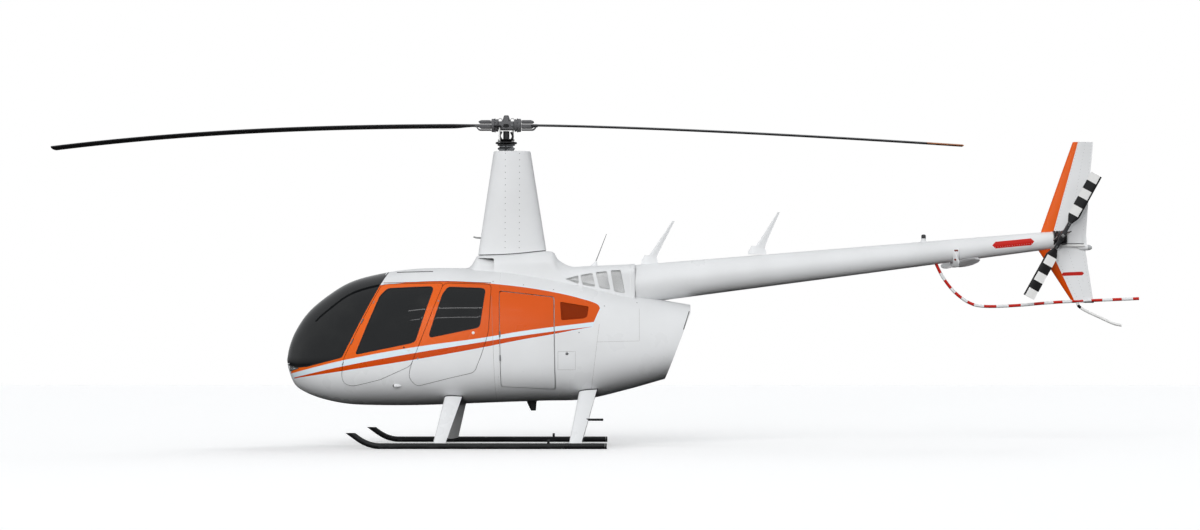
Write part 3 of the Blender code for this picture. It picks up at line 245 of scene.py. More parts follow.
def hull_half_width(x, z, inset):
    """Half the hull's width at a place in side view, or none outside it."""
    _, half, top, bottom, wide, power_up, power_down = row_at(HULL_SECTIONS, x)
    height, power = (top - inset - wide, power_up) if z >= wide else (wide - bottom - inset, power_down)
    rest = 1 - (abs(z - wide) / max(height, 0.004)) ** power
    return (half - inset) * max(rest, 0.0) ** (1 / power)


def on_hull(x, z, side, inset=0.0):
    """The point of the hull's skin at a place in side view, and the direction outwards there."""
    step = 0.01
    here = Vector((x, hull_half_width(x, z, inset) * side, z))
    ahead = Vector((x + step, hull_half_width(x + step, z, inset) * side, z)) - here
    above = Vector((x, hull_half_width(x, z + step, inset) * side, z + step)) - here
    out = ahead.cross(above).normalized()
    return here, out if out.y * side > 0 else -out


def skin_depth(points):
    """Roughly how far each point lies below the hull's skin."""
    depths = []
    for x, y, z in points:
        _, half, top, bottom, wide, power_up, power_down = row_at(HULL_SECTIONS, x)
        height, power = (top - wide, power_up) if z >= wide else (wide - bottom, power_down)
        share = ((abs(y) / half) ** power + (abs(z - wide) / height) ** power) ** (1 / power)
        depths.append((1 - share) * max(abs(y), abs(z - wide), 0.3))
    return depths


def upper_cowl_ring(x, inset, foot=UPPER_COWL_FOOT):
    steps = 44
    _, top, half = row_at(UPPER_COWL_SECTIONS, x)
    top, half = top - inset, half - inset
    side_height = top - 0.55 * half
    ring = [(x, -half, foot)]
    for i in range(steps + 1):
        angle = math.pi * (1 - i / steps)
        rise = (top - side_height) * max(math.sin(angle), 0.0) ** 0.8
        ring.append((x, half * math.cos(angle), side_height + rise))
    ring.append((x, half, foot))
    return ring


def upper_cowl_half_width(x, z, inset=0.0):
    _, top, half = row_at(UPPER_COWL_SECTIONS, x)
    top, half = top - inset, half - inset
    side_height = top - 0.55 * half
    if z <= side_height:
        return half
    share = min((z - side_height) / (top - side_height), 1.0)
    return half * math.sqrt(max(1 - share ** 2.5, 0.0))


def foil_shape(share):
    """Half an aerofoil's thickness at a share of its chord, as a share of half the greatest."""
    return 2.969 * math.sqrt(share) - 1.26 * share - 3.516 * share**2 + 2.843 * share**3 - 1.015 * share**4


def wing_section(leading, trailing, thickness, height, steps=14):
    """A streamlined plan section between two x places at one height."""
    chord = trailing - leading
    side = []
    for i in range(steps + 1):
        share = (1 - math.cos(math.pi * i / steps)) / 2
        thinnest = 0.0 if i == 0 else 0.002
        side.append((leading + chord * share, max(thickness / 2 * foil_shape(share), thinnest)))
    ring = [(x, y, height) for x, y in side[1:]]
    ring += [(x, -y, height) for x, y in reversed(side)]
    return ring


def fairing_thickness(height):
    return 0.30 - 0.08 * (height - FAIRING_FOOT) / (FAIRING_TOP - FAIRING_FOOT)


def fairing_ring(height, thickness, inset=0.0):
    """A plan section of the mast fairing, whose edges run straight between two measured heights."""
    count = 72
    low, high = FAIRING_HEIGHTS
    share = (height - low) / (high - low)
    leading = FAIRING_LEADING[0] + share * (FAIRING_LEADING[1] - FAIRING_LEADING[0]) + inset
    trailing = FAIRING_TRAILING[0] + share * (FAIRING_TRAILING[1] - FAIRING_TRAILING[0]) - inset
    middle = (leading + trailing) / 2 - 0.04
    ring = []
    for i in range(count):
        angle = 2 * math.pi * i / count
        reach = (trailing - middle) if math.cos(angle) > 0 else (middle - leading)
        y = (thickness / 2 - inset) * math.copysign(abs(math.sin(angle)) ** 0.9, math.sin(angle))
        ring.append((middle + reach * math.cos(angle), y, height))
    return ring


def grown(outline, distance):
    """The outline with every side moved outwards by distance, or each by its own of a list."""
    count = len(outline)
    moves = distance if isinstance(distance, (list, tuple)) else [distance] * count
    area = sum(x0 * z1 - x1 * z0 for (x0, z0), (x1, z1) in zip(outline, outline[1:] + outline[:1]))
    side = 1 if area > 0 else -1
    made = []
    for i in range(count):
        before, here, after = (Vector(outline[(i + k) % count]) for k in (-1, 0, 1))
        first = (here - before).normalized()
        second = (after - here).normalized()
        first_out = Vector((first.y, -first.x)) * side
        second_out = Vector((second.y, -second.x)) * side
        turn = first_out.x * second_out.y - first_out.y * second_out.x
        move_first, move_second = moves[i - 1], moves[i]
        if abs(turn) < 0.05:
            made.append(tuple(here + (first_out + second_out).normalized() * (move_first + move_second) / 2))
            continue
        x = (move_first * second_out.y - move_second * first_out.y) / turn
        z = (move_second * first_out.x - move_first * second_out.x) / turn
        made.append((here.x + x, here.y + z))
    return tuple(made)


def rounded(outline, radius, steps=8):
    """The outline with its corners rounded, each by no more than 45 percent of its sides."""
    made = []
    count = len(outline)
    for i in range(count):
        before, here, after = (Vector(outline[(i + k) % count]) for k in (-1, 0, 1))
        back = here + (before - here).normalized() * min(radius, 0.45 * (before - here).length)
        on = here + (after - here).normalized() * min(radius, 0.45 * (after - here).length)
        for step in range(steps + 1):
            t = step / steps
            made.append(tuple(back.lerp(here, t).lerp(here.lerp(on, t), t)))
    return tuple(made)


def inside_outline(outline, x, z):
    """Whether a place lies within the outline."""
    within = False
    for (x0, z0), (x1, z1) in zip(outline, outline[1:] + outline[:1]):
        if (z0 > z) != (z1 > z) and x < (x1 - x0) * (z - z0) / (z1 - z0) + x0:
            within = not within
    return within


def bent_line(points, radius, steps=6):
    """A line with each inner corner replaced by a short round."""
    points = [Vector(point) for point in points]
    made = [points[0]]
    for before, corner, after in zip(points, points[1:], points[2:]):
        back = corner + (before - corner).normalized() * radius
        ahead = corner + (after - corner).normalized() * radius
        for step in range(steps + 1):
            t = step / steps
            made.append(back.lerp(corner, t).lerp(corner.lerp(ahead, t), t))
    made.append(points[-1])
    return made


# Mesh building

def placed(name, data):
    """A new object in the scene, round a mesh, a lamp or a camera."""
    made = bpy.data.objects.new(name, data)
    bpy.context.scene.collection.objects.link(made)
    return made


def bare_piece(name, bm):
    mesh = bpy.data.meshes.new(name)
    bm.to_mesh(mesh)
    bm.free()
    return placed(name, mesh)


def shaded(piece, sharp=35.0):
    """Smooth shading that breaks at edges sharper than this many degrees."""
    piece.data.shade_smooth()
    piece.data.set_sharp_from_angle(angle=math.radians(sharp))
    return piece


def mesh_piece(name, bm, sharp=35.0):
    bmesh.ops.recalc_face_normals(bm, faces=bm.faces)
    return shaded(bare_piece(name, bm), sharp)


def loft(name, rings, sharp=35.0, split=False):
    """A closed solid through rings of equal length, capped at both ends.

    With split, each patch is cut along a diagonal chosen by its side, so that two lofts with the
    same stations but different insets never cross."""
    bm = bmesh.new()
    rows = [[bm.verts.new(point) for point in ring] for ring in rings]
    count = len(rows[0])
    for row, after in zip(rows, rows[1:]):
        for i in range(count):
            j = (i + 1) % count
            if not split:
                bm.faces.new((row[i], row[j], after[j], after[i]))
            elif rings[0][i][1] + rings[0][j][1] < 0:
                bm.faces.new((row[i], row[j], after[i]))
                bm.faces.new((row[j], after[j], after[i]))
            else:
                bm.faces.new((row[i], row[j], after[j]))
                bm.faces.new((row[i], after[j], after[i]))
    bm.faces.new(rows[0])
    bm.faces.new(rows[-1])
    return mesh_piece(name, bm, sharp)


def prism(name, outline, start, end):
    """An (x, z) outline pulled along Y."""
    bm = bmesh.new()
    face = bm.faces.new([bm.verts.new((x, start, z)) for x, z in outline])
    pulled = bmesh.ops.extrude_face_region(bm, geom=[face])
    moved = [item for item in pulled["geom"] if isinstance(item, bmesh.types.BMVert)]
    bmesh.ops.translate(bm, verts=moved, vec=(0, end - start, 0))
    return mesh_piece(name, bm)


def side_prism(outline, side):
    start, end = sorted((0.10 * side, 1.30 * side))
    return prism("cutter", outline, start, end)


def capped(*profile):
    """A profile for turned, with its two ends closed onto the axis."""
    return [(profile[0][0], 0), *profile, (profile[-1][0], 0)]


def turned(name, profile, start, direction, sides=48, sharp=35.0):
    """A solid turned about an axis from (distance along, radius) pairs."""
    facing = Vector(direction).to_track_quat("Z", "Y").to_matrix().to_4x4()
    place = Matrix.Translation(Vector(start)) @ facing
    bm = bmesh.new()
    rows = []
    for along, radius in profile:
        if radius < 1e-6:
            rows.append([bm.verts.new(place @ Vector((0, 0, along)))] * sides)
            continue
        turn = 2 * math.pi / sides
        rows.append([
            bm.verts.new(place @ Vector((radius * math.cos(turn * i), radius * math.sin(turn * i), along)))
            for i in range(sides)
        ])
    for row, after in zip(rows, rows[1:]):
        for i in range(sides):
            j = (i + 1) % sides
            corners = []
            for vert in (row[i], row[j], after[j], after[i]):
                if vert not in corners:
                    corners.append(vert)
            if len(corners) > 2:
                bm.faces.new(corners)
    for row in (rows[0], rows[-1]):
        if row[0] is not row[1]:
            bm.faces.new(row)
    return mesh_piece(name, bm, sharp)


def swept(name, points, radius, sides):
    """A round bar along points, with a radius for all of them or one for each."""
    points = [Vector(point) for point in points]
    radii = radius if isinstance(radius, (list, tuple)) else [radius] * len(points)
    bm = bmesh.new()
    rows = []
    across = None
    for i, point in enumerate(points):
        before = points[max(i - 1, 0)]
        after = points[min(i + 1, len(points) - 1)]
        along = (after - before).normalized()
        if across is None:
            across = along.orthogonal().normalized()
        across = (across - along * across.dot(along)).normalized()
        second = along.cross(across)
        turn = 2 * math.pi / sides
        rows.append([
            bm.verts.new(point + (across * math.cos(turn * k) + second * math.sin(turn * k)) * radii[i])
            for k in range(sides)
        ])
    for row, after in zip(rows, rows[1:]):
        for k in range(sides):
            bm.faces.new((row[k], row[(k + 1) % sides], after[(k + 1) % sides], after[k]))
    bm.faces.new(rows[0])
    bm.faces.new(rows[-1])
    return mesh_piece(name, bm)


def soft_box(name, low, high, bevel, segments=3, place=None):
    """A box with rounded edges."""
    low, high = Vector(low), Vector(high)
    bm = bmesh.new()
    bmesh.ops.create_cube(bm, size=1.0)
    bmesh.ops.scale(bm, vec=high - low, verts=bm.verts)
    bmesh.ops.translate(bm, vec=(low + high) / 2, verts=bm.verts)
    bmesh.ops.bevel(
        bm, geom=bm.edges[:], offset=bevel, segments=segments, affect="EDGES", profile=0.5, clamp_overlap=True
    )
    if place:
        bmesh.ops.transform(bm, matrix=place, verts=bm.verts)
    return mesh_piece(name, bm, 50.0)


def applied(piece):
    """The piece with its modifiers made into its mesh."""
    bpy.context.view_layer.update()
    mesh = bpy.data.meshes.new_from_object(piece.evaluated_get(bpy.context.evaluated_depsgraph_get()))
    piece.modifiers.clear()
    before = piece.data
    piece.data = mesh
    bpy.data.meshes.remove(before)
    mesh.name = piece.name
    return piece


def remove(*pieces):
    for piece in pieces:
        mesh = piece.data
        bpy.data.objects.remove(piece, do_unlink=True)
        if mesh.users == 0:
            bpy.data.meshes.remove(mesh)


def carve(piece, cutter, operation="DIFFERENCE", keep=False):
    """Applies an exact boolean, and removes the cutter unless it is used again."""
    modifier = piece.modifiers.new("carve", "BOOLEAN")
    modifier.operation = operation
    modifier.object = cutter
    modifier.solver = "EXACT"
    applied(piece)
    if not keep:
        remove(cutter)
    return piece


def copy_of(source, name):
    made = placed(name, source.data.copy())
    made.data.name = name
    return made


def joined(name, pieces):
    """One mesh from several, with their finishes kept."""
    bm = bmesh.new()
    finishes = []
    for piece in pieces:
        start = len(bm.faces)
        slots = list(piece.data.materials)
        bm.from_mesh(piece.data)
        bm.faces.ensure_lookup_table()
        for face in bm.faces[start:]:
            finish = slots[face.material_index] if slots else None
            if finish not in finishes:
                finishes.append(finish)
            face.material_index = finishes.index(finish)
    made = bare_piece(name, bm)
    for finish in finishes:
        made.data.materials.append(finish)
    remove(*pieces)
    return made


def finished(piece, finish):
    """The piece with one finish all over."""
    piece.data.materials.clear()
    piece.data.materials.append(finish)
    for face in piece.data.polygons:
        face.material_index = 0
    return piece


def settle(piece, slot, *nodes, body="airframe"):
    """Makes the piece ride on its body and stand for its CAD nodes."""
    shaded(piece)
    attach(piece, body)
    if nodes:
        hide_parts(*nodes)
    return piece


def dress(piece, finish, slot, *nodes, body="airframe"):
    """Gives the piece one finish all over and settles it."""
    return settle(finished(piece, finish), slot, *nodes, body=body)


def smooth_copy(node):
    """A CAD node's mesh, merged and smoothed."""
    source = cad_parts[node]
    bm = bmesh.new()
    bm.from_mesh(source.data)
    bmesh.ops.remove_doubles(bm, verts=bm.verts, dist=0.00002)
    return mesh_piece(f"{node}_piece", bm)


# Material building

def fill(tree, target, sockets):
    """Sets a node's sockets to plain values, or joins them to outputs."""
    for key, value in sockets.items():
        if isinstance(value, bpy.types.NodeSocket):
            tree.links.new(value, target.inputs[key])
        else:
            target.inputs[key].default_value = value


def node(tree, kind, sockets=None, **settings):
    """A node with its settings and its sockets."""
    made = tree.nodes.new(kind)
    for key, value in settings.items():
        setattr(made, key, value)
    fill(tree, made, sockets or {})
    return made


def maths(tree, operation, *values, clamp=False):
    made = node(tree, "ShaderNodeMath", dict(enumerate(values)), operation=operation, use_clamp=clamp)
    return made.outputs[0]


def less(tree, first, second):
    return maths(tree, "SUBTRACT", first, second)


def times(tree, first, second):
    return maths(tree, "MULTIPLY", first, second)


def lowest(tree, first, *others):
    for other in others:
        first = maths(tree, "MINIMUM", first, other)
    return first


def mixed(tree, share, first, second, blend="MIX"):
    """A colour between two others."""
    sockets = {"Factor": share, 6: first, 7: second}
    return node(tree, "ShaderNodeMix", sockets, data_type="RGBA", blend_type=blend).outputs[2]


def ramp(tree, value, low, high):
    """Runs from 0 to 1 while value runs from low to high."""
    sockets = {"Value": value, "From Min": low, "From Max": high}
    return node(tree, "ShaderNodeMapRange", sockets, interpolation_type="SMOOTHSTEP").outputs["Result"]


def place_of(tree):
    """The place being shaded, in metres."""
    return node(tree, "ShaderNodeTexCoord").outputs["Object"]


def axes_of(tree):
    """The x, y and z of the place being shaded."""
    parts = node(tree, "ShaderNodeSeparateXYZ", {"Vector": place_of(tree)})
    return parts.outputs["X"], parts.outputs["Y"], parts.outputs["Z"]


def group(name, inputs, outputs):
    """A new node group with number or vector sockets, its inputs by name and its output node."""
    tree = bpy.data.node_groups.new(name, "ShaderNodeTree")
    for label, default in inputs.items():
        kind = "NodeSocketVector" if isinstance(default, tuple) else "NodeSocketFloat"
        socket = tree.interface.new_socket(label, in_out="INPUT", socket_type=kind)
        socket.default_value = default
    for label in outputs:
        tree.interface.new_socket(label, in_out="OUTPUT", socket_type="NodeSocketFloat")
    entry = tree.nodes.new("NodeGroupInput")
    return tree, entry.outputs, tree.nodes.new("NodeGroupOutput")


def spaced(values):
    """The same values by socket name, which has spaces where a Python name has underscores."""
    return {label.replace("_", " "): value for label, value in values.items()}


def use_group(tree, source, **values):
    return node(tree, "ShaderNodeGroup", spaced(values), node_tree=source).outputs


def make_surface_wear():
    """Cloudy variation, fine dust specks and a fine height, shared by all finishes."""
    tree, entry, leave = group(
        "surface_wear", {"Cloud Scale": 2.0, "Fine Scale": 300.0, "Specks": 0.5}, ("Cloud", "Speck", "Height")
    )
    place = place_of(tree)
    cloud = node(tree, "ShaderNodeTexNoise", {"Vector": place, "Scale": entry["Cloud Scale"], "Detail": 4.0})
    fine = node(tree, "ShaderNodeTexNoise", {"Vector": place, "Scale": entry["Fine Scale"], "Detail": 2.0})
    speck_scale = times(tree, entry["Fine Scale"], 0.4)
    specks = node(tree, "ShaderNodeTexVoronoi", {"Vector": place, "Scale": speck_scale})
    dots = ramp(tree, specks.outputs["Distance"], 0.16, 0.06)
    speck = times(tree, dots, entry["Specks"])
    fill(tree, leave, {"Cloud": cloud.outputs[0], "Speck": speck, "Height": fine.outputs[0]})
    return tree


def edge_curve(tree, x, line):
    """The z of a stripe's edge at x, from a line of (x, z) places."""
    (x0, x1), (z0, z1) = SPAN_X, SPAN_Z
    share = maths(tree, "DIVIDE", less(tree, x, x0), x1 - x0, clamp=True)
    made = node(tree, "ShaderNodeFloatCurve", {"Value": share})
    curve = made.mapping.curves[0]
    knots = [((px - x0) / (x1 - x0), (pz - z0) / (z1 - z0)) for px, pz in line]
    curve.points[0].location = knots[0]
    curve.points[1].location = knots[-1]
    for knot in knots[1:-1]:
        curve.points.new(*knot)
    made.mapping.update()
    return maths(tree, "MULTIPLY_ADD", made.outputs[0], z1 - z0, z0)


def beyond_line(tree, x, z, start, end):
    """How far a place in side view lies to the left of the line from start to end, in metres."""
    along = (Vector(end) - Vector(start)).normalized()
    first = times(tree, less(tree, z, start[1]), along.x)
    second = times(tree, less(tree, x, start[0]), -along.y)
    return maths(tree, "ADD", first, second)


def make_side_stripes():
    """Masks of the livery: the wide band, the lower stripe and the pale margin round them."""
    tree, _, leave = group("side_stripes", {}, ("Band", "Stripe", "Margin"))
    x, y, z = axes_of(tree)
    rear = times(tree, beyond_line(tree, x, z, *BAND_REAR), -1.0)
    band_bottom = less(tree, z, edge_curve(tree, x, BAND_BOTTOM))
    stripe_top = less(tree, edge_curve(tree, x, STRIPE_TOP), z)
    past_band_front = less(tree, x, BAND_FRONT)
    past_stripe_front = less(tree, x, STRIPE_FRONT)
    band = lowest(tree, less(tree, edge_curve(tree, x, BAND_TOP), z), band_bottom, rear, past_band_front)
    stripe_bottom = less(tree, z, edge_curve(tree, x, STRIPE_BOTTOM))
    stripe = lowest(tree, stripe_top, stripe_bottom, rear, past_stripe_front)
    between = lowest(tree, less(tree, 0.0, band_bottom), less(tree, 0.0, stripe_top), rear, past_stripe_front)
    near = maths(tree, "MAXIMUM", maths(tree, "MAXIMUM", band, stripe), between)
    beside_post = less(tree, maths(tree, "ABSOLUTE", y), CENTRE_POST_HALF + 0.01)
    soft = 0.0012  # half the width over which an edge fades
    for label, part, edge in (("Band", band, 0.0), ("Stripe", stripe, 0.0), ("Margin", near, -BAND_MARGIN)):
        within = lowest(tree, part, beside_post)
        fill(tree, leave, {label: ramp(tree, within, edge - soft, edge + soft)})
    return tree


def make_placard():
    """Mask of a blank bar with an arrow point at each end, in side view, and of the rim round it."""
    inputs = {"Middle X": 0.0, "Middle Z": 0.0, "Slope": 0.0, "Length": 0.4, "Height": 0.05}
    tree, entry, leave = group("blank_placard", inputs, ("Face", "Rim"))
    x, _, z = axes_of(tree)
    along = less(tree, x, entry["Middle X"])
    level = maths(tree, "MULTIPLY_ADD", along, entry["Slope"], entry["Middle Z"])
    across = maths(tree, "ABSOLUTE", less(tree, z, level))
    half = times(tree, entry["Height"], 0.5)
    reach = less(tree, times(tree, entry["Length"], 0.5), maths(tree, "ABSOLUTE", along))
    within = lowest(tree, less(tree, half, across), less(tree, reach, across))
    fill(tree, leave, {"Face": ramp(tree, within, 0.002, 0.004), "Rim": ramp(tree, within, -0.003, -0.001)})
    return tree


def make_brushing():
    """Fine scratches along one direction, for bare metal."""
    tree, entry, leave = group("brushing", {"Stretch": (4.0, 400.0, 400.0)}, ("Streak",))
    sockets = {0: place_of(tree), 1: entry["Stretch"]}
    moved = node(tree, "ShaderNodeVectorMath", sockets, operation="MULTIPLY")
    streak = node(tree, "ShaderNodeTexNoise", {"Vector": moved.outputs[0], "Scale": 1.0, "Detail": 3.0})
    fill(tree, leave, {"Streak": streak.outputs[0]})
    return tree


def make_strip_edge():
    """Mask of what lies ahead of a straight line in side view, given a place on it and its slope."""
    tree, entry, leave = group("strip_edge", {"Low X": 0.0, "Low Z": 0.0, "Lean": 0.0}, ("Ahead",))
    x, _, z = axes_of(tree)
    line = maths(tree, "MULTIPLY_ADD", less(tree, z, entry["Low Z"]), entry["Lean"], entry["Low X"])
    fill(tree, leave, {"Ahead": ramp(tree, less(tree, line, x), -0.001, 0.001)})
    return tree


surface_wear = make_surface_wear()
side_stripes = make_side_stripes()
blank_placard = make_placard()
brushing = make_brushing()
strip_edge = make_strip_edge()

WHITE = (0.80, 0.81, 0.82, 1)
PALE_MARGIN = (0.74, 0.86, 0.93, 1)
ORANGE = (0.78, 0.110, 0.004, 1)
DEEP_ORANGE = (0.62, 0.066, 0.001, 1)
SOOT = (0.03, 0.03, 0.032, 1)


def new_material(name, roughness, metallic=0.0, **constants):
    """A material with its shader, and with sockets that are the same all over set on the shader."""
    made = bpy.data.materials.new(name)
    made.use_nodes = True
    tree = made.node_tree
    shader = tree.nodes["Principled BSDF"]
    fill(tree, shader, {"Roughness": roughness, "Metallic": metallic, **spaced(constants)})
    return made, tree, shader


def bumped(tree, shader, height, depth, strength):
    bump = node(tree, "ShaderNodeBump", {"Height": height, "Distance": depth, "Strength": strength})
    fill(tree, shader, {"Normal": bump.outputs[0]})


def painted(name, colour, roughness=0.30, coat=0.15, depth=0.00004):
    """Sprayed gloss paint: slightly cloudy, with a fine orange peel and a little road dust.

    Colour is a plain colour or a function that makes one from the material's tree."""
    made, tree, shader = new_material(
        name, roughness, Coat_Weight=coat, Coat_Roughness=0.06, Specular_IOR_Level=0.35
    )
    wear = use_group(tree, surface_wear, Cloud_Scale=1.6, Fine_Scale=260.0, Specks=0.25)
    base = colour(tree) if callable(colour) else colour
    cloud = ramp(tree, wear["Cloud"], 0.35, 0.75)
    toned = mixed(tree, times(tree, cloud, 0.10), base, (0.42, 0.41, 0.39, 1), "MULTIPLY")
    dusted = mixed(tree, times(tree, wear["Speck"], 0.25), toned, (0.35, 0.33, 0.30, 1))
    rough = maths(tree, "MULTIPLY_ADD", cloud, 0.10, roughness - 0.03)
    fill(tree, shader, {"Base Color": dusted, "Roughness": rough})
    bumped(tree, shader, wear["Height"], depth, 0.6)
    return made


def hull_colour(tree):
    stripes = use_group(tree, side_stripes)
    pale = mixed(tree, stripes["Margin"], WHITE, PALE_MARGIN)
    lower = mixed(tree, stripes["Stripe"], pale, DEEP_ORANGE)
    # The band's orange is painted darker towards the rear: painted shading along the side
    shade = ramp(tree, axes_of(tree)[0], -2.4, -0.6)
    band = mixed(tree, shade, (0.82, 0.125, 0.006, 1), (0.70, 0.092, 0.003, 1))
    return mixed(tree, stripes["Band"], lower, band)


def boom_colour(tree):
    placard = use_group(
        tree, blank_placard, Middle_X=4.5195, Middle_Z=2.1759, Slope=0.0966, Length=0.463, Height=0.080
    )
    rimmed = mixed(tree, placard["Rim"], WHITE, (0.86, 0.86, 0.86, 1))
    return mixed(tree, placard["Face"], rimmed, (0.56, 0.012, 0.006, 1))


def upper_fin_colour(tree):
    strip = use_group(tree, strip_edge, Low_X=4.968, Low_Z=2.317, Lean=0.281)
    return mixed(tree, strip["Ahead"], WHITE, ORANGE)


def lower_fin_colour(tree):
    strip = use_group(tree, strip_edge, Low_X=4.999, Low_Z=1.970, Lean=-0.4595)
    placard = use_group(
        tree, blank_placard, Middle_X=5.173, Middle_Z=1.851, Slope=0.04, Length=0.252, Height=0.045
    )
    base = mixed(tree, strip["Ahead"], WHITE, DEEP_ORANGE)
    return mixed(tree, placard["Face"], base, (0.50, 0.012, 0.006, 1))


def make_bare_metal(name, colour, roughness, soil=0.25):
    """Brushed metal with dull patches."""
    made, tree, shader = new_material(name, roughness, 1.0)
    wear = use_group(tree, surface_wear, Cloud_Scale=9.0, Fine_Scale=500.0, Specks=0.6)
    streak = use_group(tree, brushing, Stretch=(4.0, 400.0, 400.0))["Streak"]
    cloud = ramp(tree, wear["Cloud"], 0.3, 0.75)
    dull = tuple(value * 0.45 for value in colour[:3]) + (1,)
    base = mixed(tree, times(tree, cloud, soil), colour, dull)
    base = mixed(tree, times(tree, wear["Speck"], 0.3), base, SOOT)
    rough = maths(tree, "MULTIPLY_ADD", streak, 0.15, roughness - 0.1)
    rough = maths(tree, "MULTIPLY_ADD", cloud, 0.15, rough)
    fill(tree, shader, {"Base Color": base, "Roughness": rough})
    bumped(tree, shader, streak, 0.00003, 0.5)
    return made


def make_glass():
    """Dark tinted glass, glossy, with a faint cloudy film of dust."""
    made, tree, shader = new_material(
        "tinted_glass", 0.03, Coat_Weight=0.1, Coat_Roughness=0.02, IOR=1.45, Transmission_Weight=0.25
    )
    wear = use_group(tree, surface_wear, Cloud_Scale=3.0, Fine_Scale=120.0, Specks=0.4)
    cloud = ramp(tree, wear["Cloud"], 0.45, 0.8)
    base = mixed(tree, cloud, (0.010, 0.011, 0.012, 1), (0.020, 0.021, 0.021, 1))
    base = mixed(tree, times(tree, wear["Speck"], 0.06), base, (0.3, 0.3, 0.3, 1))
    fill(tree, shader, {"Base Color": base, "Roughness": maths(tree, "MULTIPLY_ADD", cloud, 0.03, 0.025)})
    return made


def make_rubber(name, colour):
    """Matt black rubber or plastic with a fine grain, paler in patches."""
    made, tree, shader = new_material(name, 0.55)
    wear = use_group(tree, surface_wear, Cloud_Scale=12.0, Fine_Scale=700.0, Specks=0.5)
    lighter = tuple(value * 2.2 for value in colour[:3]) + (1,)
    base = mixed(tree, ramp(tree, wear["Cloud"], 0.4, 0.8), colour, lighter)
    rough = maths(tree, "MULTIPLY_ADD", wear["Cloud"], 0.3, 0.4)
    fill(tree, shader, {"Base Color": base, "Roughness": rough})
    bumped(tree, shader, wear["Height"], 0.00015, 0.5)
    return made


def make_leather():
    """Dark grained leather with a soft sheen, paler in worn patches."""
    made, tree, shader = new_material("seat_leather", 0.5, Sheen_Weight=0.15, Sheen_Roughness=0.4)
    wear = use_group(tree, surface_wear, Cloud_Scale=5.0, Fine_Scale=90.0, Specks=0.1)
    sockets = {"Vector": place_of(tree), "Scale": 420.0}
    pebbles = node(tree, "ShaderNodeTexVoronoi", sockets, feature="DISTANCE_TO_EDGE")
    creases = ramp(tree, pebbles.outputs["Distance"], 0.0, 0.12)
    worn = ramp(tree, wear["Cloud"], 0.3, 0.8)
    base = mixed(tree, worn, (0.050, 0.044, 0.040, 1), (0.095, 0.082, 0.072, 1))
    # The grain's creases are painted nearly black: painted shade in the creases, on top of their bump
    base = mixed(tree, less(tree, 1.0, creases), base, (0.018, 0.016, 0.015, 1))
    rough = maths(tree, "MULTIPLY_ADD", wear["Cloud"], 0.25, 0.35)
    fill(tree, shader, {"Base Color": base, "Roughness": rough})
    height = maths(tree, "MULTIPLY_ADD", wear["Height"], 0.4, creases)
    bumped(tree, shader, height, 0.0004, 0.7)
    return made


def make_lens(name, colour, transmission):
    """A ribbed clear or coloured lamp lens."""
    made, tree, shader = new_material(
        name, 0.08, Coat_Weight=0.6, IOR=1.46, Transmission_Weight=transmission
    )
    wear = use_group(tree, surface_wear, Cloud_Scale=20.0, Fine_Scale=600.0, Specks=0.2)
    ribs = maths(tree, "SINE", times(tree, axes_of(tree)[2], 1500.0))
    deep = tuple(value * 0.6 for value in colour[:3]) + (1,)
    fill(tree, shader, {"Base Color": mixed(tree, wear["Cloud"], colour, deep)})
    bumped(tree, shader, ribs, 0.0004, 0.6)
    return made


def make_exhaust_metal():
    """Stainless steel, browned and then blued by heat towards its open end."""
    made, tree, shader = new_material("exhaust_steel", 0.35, 1.0)
    wear = use_group(tree, surface_wear, Cloud_Scale=7.0, Fine_Scale=300.0, Specks=0.6)
    patches = maths(tree, "MULTIPLY_ADD", wear["Cloud"], 0.5, -0.25)
    heat = maths(tree, "ADD", ramp(tree, axes_of(tree)[0], 0.55, 0.92), patches)
    base = mixed(tree, ramp(tree, heat, 0.1, 0.6), (0.52, 0.50, 0.47, 1), (0.30, 0.20, 0.12, 1))
    base = mixed(tree, ramp(tree, heat, 0.7, 1.1), base, (0.10, 0.09, 0.11, 1))
    rough = maths(tree, "MULTIPLY_ADD", wear["Cloud"], 0.3, 0.22)
    fill(tree, shader, {"Base Color": base, "Roughness": rough})
    bumped(tree, shader, wear["Height"], 0.0001, 0.4)
    return made


def blade_colour(tree):
    """Dark grey, with one tip in orange brown."""
    tip = ramp(tree, axes_of(tree)[0], 3.586, 3.592)
    return mixed(tree, tip, (0.062, 0.063, 0.067, 1), (0.44, 0.150, 0.045, 1))


livery_paint = painted("livery_paint", hull_colour)
white_paint = painted("white_paint", WHITE)
boom_paint = painted("boom_paint", boom_colour)
upper_fin_paint = painted("upper_fin_paint", upper_fin_colour)
lower_fin_paint = painted("lower_fin_paint", lower_fin_colour)
orange_mesh_paint = painted("orange_mesh_paint", (0.50, 0.055, 0.001, 1), 0.6, 0.0)
black_paint = painted("black_paint", (0.012, 0.012, 0.013, 1), 0.30, 0.3)
red_paint = painted("red_paint", (0.58, 0.018, 0.010, 1), 0.32, 0.3)
blade_paint = painted("blade_paint", blade_colour, 0.42, 0.1)
# Near black, for the insides of the cowls and as painted shade in the scoops
dark_inside_and_painted_shade = painted("dark_inside_and_painted_shade", (0.035, 0.035, 0.037, 1), 0.6, 0.0, 0.0002)
pale_inside = painted("pale_inside", (0.45, 0.45, 0.45, 1), 0.6, 0.0)
pale_mesh_paint = painted("pale_mesh_paint", (0.78, 0.79, 0.79, 1), 0.5, 0.0)
hub_paint = painted("hub_paint", (0.12, 0.12, 0.125, 1), 0.45, 0.1)
cabin_trim = painted("cabin_trim", (0.16, 0.155, 0.15, 1), 0.7, 0.0, 0.0003)
bare_steel = make_bare_metal("bare_steel", (0.46, 0.47, 0.48, 1), 0.36)
dark_steel = make_bare_metal("dark_steel", (0.13, 0.13, 0.135, 1), 0.45)
mesh_wire = make_bare_metal("mesh_wire", (0.78, 0.78, 0.77, 1), 0.45)
fastener_paint = painted("fastener_paint", (0.24, 0.24, 0.25, 1), 0.45, 0.0)
